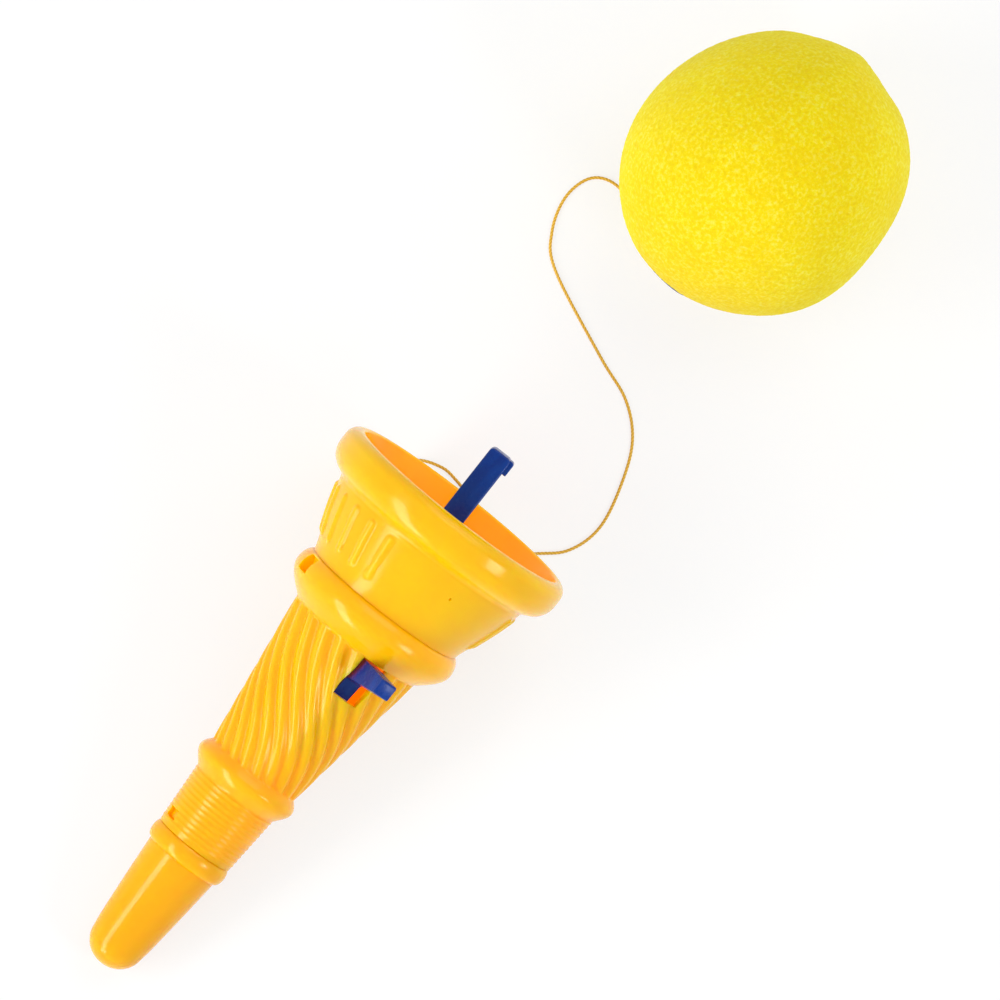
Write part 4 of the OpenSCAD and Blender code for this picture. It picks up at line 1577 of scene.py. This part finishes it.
@dataclass
class Studio:
    """The pale floor, the soft lamps and the camera.

    Attributes:
        aim: Where the camera looks, in millimetres.
        turn: Turn of the picture about the viewing direction, in degrees.
        lean: Lean of the viewing direction away from straight down, in degrees.
        field: Width of the picture at the aim, in millimetres.
        distance: Distance of the camera from the aim, in millimetres, short enough that the
            other views keep the toy inside the camera's far clip.
        sensor: Width of the camera's sensor, in millimetres.
        clip: Nearest and furthest distances that the camera sees, in metres.
        lamp_distance: Distance of the lamps from the aim, in metres.
        sky: Strength of the even light from all sides.
        floor_half: Half the floor's side, in millimetres.
        floor_white: Strength of the plain white.
        floor_glow: Share of plain white in the floor, which keeps the toy's shadow.
        floor_fade: Distances from the middle between which the floor fades to white, in metres.
        lamps: The lamps.
    """

    aim: Vector
    turn: float = 51.75
    lean: float = 5.5
    field: float = 300.3
    distance: float = 9000.0
    sensor: float = 36.0
    clip: tuple[float, float] = (0.1, 50.0)
    lamp_distance: float = 1.1
    sky: float = 0.39
    floor_half: float = 4000.0
    floor_white: float = 1.05
    floor_glow: float = 0.7
    floor_fade: tuple[float, float] = (0.26, 0.6)
    lamps: tuple[Lamp, ...] = (Lamp("left_key", (-0.83, -0.26, 0.5), (0.28, 1.45), 10.4),
                               Lamp("right_spot", (0.61, -0.53, 0.59), (0.32, 0.32), 3.2),
                               Lamp("mouth_fill", (0.5, 0.5, 0.7), (0.9, 0.9), 4.2))

    def axes(self) -> tuple[Vector, Vector, Vector]:
        """Returns the picture's right, its up and the direction toward the camera.

        Returns:
            The three directions, each of unit length.
        """
        lean, turn = math.radians(self.lean), math.radians(self.turn)
        along = Vector((math.cos(lean), 0, math.sin(lean)))
        across = Vector((0, 1, 0))
        right = math.cos(turn) * along - math.sin(turn) * across
        up = math.sin(turn) * along + math.cos(turn) * across
        return right, up, Vector((-math.sin(lean), 0, math.cos(lean)))

    def camera(self) -> None:
        """Sets up the camera where the photograph was taken from."""
        right, up, back = self.axes()
        data = bpy.data.cameras.new("camera")
        data.sensor_fit = "HORIZONTAL"
        data.sensor_width = self.sensor
        data.lens = self.sensor * self.distance / self.field
        data.clip_start, data.clip_end = self.clip
        camera = linked("camera", data)
        place = Matrix.Translation((self.aim + back * self.distance) * MM)
        camera.matrix_world = place @ turn_of(right, up, back)
        bpy.context.scene.camera = camera

    def hang(self, lamp: Lamp) -> None:
        """Hangs a lamp round the toy, with one side across the barrel.

        Args:
            lamp: The lamp.
        """
        data = bpy.data.lights.new(lamp.name, "AREA")
        data.shape, data.size, data.size_y = "RECTANGLE", *lamp.sides
        data.energy = lamp.power
        light = linked(lamp.name, data)
        shares = zip(self.axes(), lamp.toward)
        back = sum((axis * share for axis, share in shares), Vector()).normalized()
        right = BARREL_AXIS.cross(back).normalized()
        place = Matrix.Translation(self.aim * MM + back * self.lamp_distance)
        light.matrix_world = place @ turn_of(right, back.cross(right), back)

    def light_sky(self) -> None:
        """Lights the scene evenly, under a sky that looks white."""
        world = bpy.data.worlds.new("sky")
        bpy.context.scene.world = world
        world.use_nodes = True
        tree = world.node_tree
        mix = tree.nodes.new("ShaderNodeMix")
        mix.inputs["A"].default_value = self.sky
        mix.inputs["B"].default_value = 1.0
        tree.links.new(seen_straight(tree), mix.inputs["Factor"])
        tree.links.new(mix.outputs["Result"], tree.nodes["Background"].inputs["Strength"])
        tree.nodes["Background"].inputs["Color"].default_value = (1, 1, 1, 1)

    def lay_floor(self) -> None:
        """Lays the white floor that takes the shadow."""
        form = Form()
        bmesh.ops.create_grid(form.bm, x_segments=1, y_segments=1, size=self.floor_half)
        floor = form.place("floor", ROW)
        shader = Shader("white_floor", {"Roughness": 0.9, "Specular IOR Level": 0.1})
        cloud = shader.ramp(shader.grain(60.0, 2.0), 0.3, 0.7, 0.0, 1.0)
        shader.to_surface("Base Color", shader.mix(cloud, (0.88, 0.88, 0.88), (0.90, 0.90, 0.90)))
        away = shader.node("VectorMath", {"operation": "LENGTH"}, {0: shader.place()})
        white = shader.ramp(away.outputs["Value"], *self.floor_fade, self.floor_glow, 1.0)
        share = shader.node("Math", {"operation": "MULTIPLY"},
                            {0: seen_straight(shader.tree), 1: white})
        glow = shader.node("Emission", None, {"Strength": self.floor_white})
        blend = shader.node("MixShader", None, {0: share.outputs[0], 2: glow.outputs[0]})
        shader.tree.links.new(shader.surface.outputs[0], blend.inputs[1])
        output = shader.tree.nodes["Material Output"]
        shader.tree.links.new(blend.outputs[0], output.inputs["Surface"])
        floor.data.materials.append(shader.material)

    def build(self) -> None:
        """Builds the studio."""
        bpy.context.scene.view_settings.view_transform = "Standard"
        self.light_sky()
        self.lay_floor()
        for lamp in self.lamps:
            self.hang(lamp)


@dataclass
class InnerParts:
    """The parts inside the launcher, whose CAD meshes are kept and dressed."""

    tube_finish: Material
    pin_finish: Material

    def build(self) -> None:
        """Dresses the tube, its plug and the trigger's pin."""
        for name, finish in (("guide_tube", self.tube_finish), ("tube_plug", self.tube_finish),
                             ("trigger_pin", self.pin_finish)):
            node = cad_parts[name]
            # Painted shade and glow: the whole tube and plug get the yellow finish's deeper orange
            # and its emission; the steel pin does not read it.
            paint(node, "depth", np.ones(len(node.data.vertices)))
            dress(node, name, finish)


def main() -> None:
    """Builds the studio and the toy, piece by piece."""
    studio = Studio(aim=Vector((8.9, -2.03, 8.85)))
    studio.camera()
    thread = TwistedThread("golden_thread").material()
    tie = TieString()
    string = tie.build(thread)
    cup_hole = BARREL.shifted(-Cup.hole_out)
    ball_hole = SOCKET.shifted(-BallSocket.hole_out)
    cup_start = Cup.foot_s - tie.knot_len
    ball_start = SOCKET_FACE - BallSocket.flange_t - tie.knot_len
    knots = [tie.knot("string_knot_cup", Body.SHOOTER, cup_hole, cup_start, thread),
             tie.knot("string_knot_ball", Body.BALL, ball_hole, ball_start, thread)]
    tie.declare()

    yellow = MouldedYellow("moulded_yellow").material()
    blue = MouldedBlue("moulded_blue").material()
    steel = DrawnSteel("drawn_steel").material()
    NoseCap().build(yellow)
    ConeBody().build(yellow)
    Cup().build(yellow)
    Plunger().build(blue)
    Trigger().build(blue)
    main_spring = Coil("main_spring", wire_r=0.45, mean_r=5.275, start=62.1, end=108.3, curls=12)
    main_spring.build(BARREL, "plunger_slide", 0.35, steel)
    under_tail = BARREL.turned(TRIGGER_TURN).across(Trigger.pocket_s)
    tail_spring = Coil("trigger_spring", wire_r=0.25, mean_r=1.6, start=8.3, end=11.9, curls=3)
    tail_spring.build(under_tail, "trigger_pull", 0.72, steel)
    InnerParts(yellow, steel).build()
    FoamBall().build(Matrix(studio.axes()), FineFoam("fine_foam").material())
    BallSocket().build(blue)
    studio.build()


if __name__ == "__main__":
    logging.basicConfig(level=logging.INFO, format="%(name)s: %(message)s")
    main()
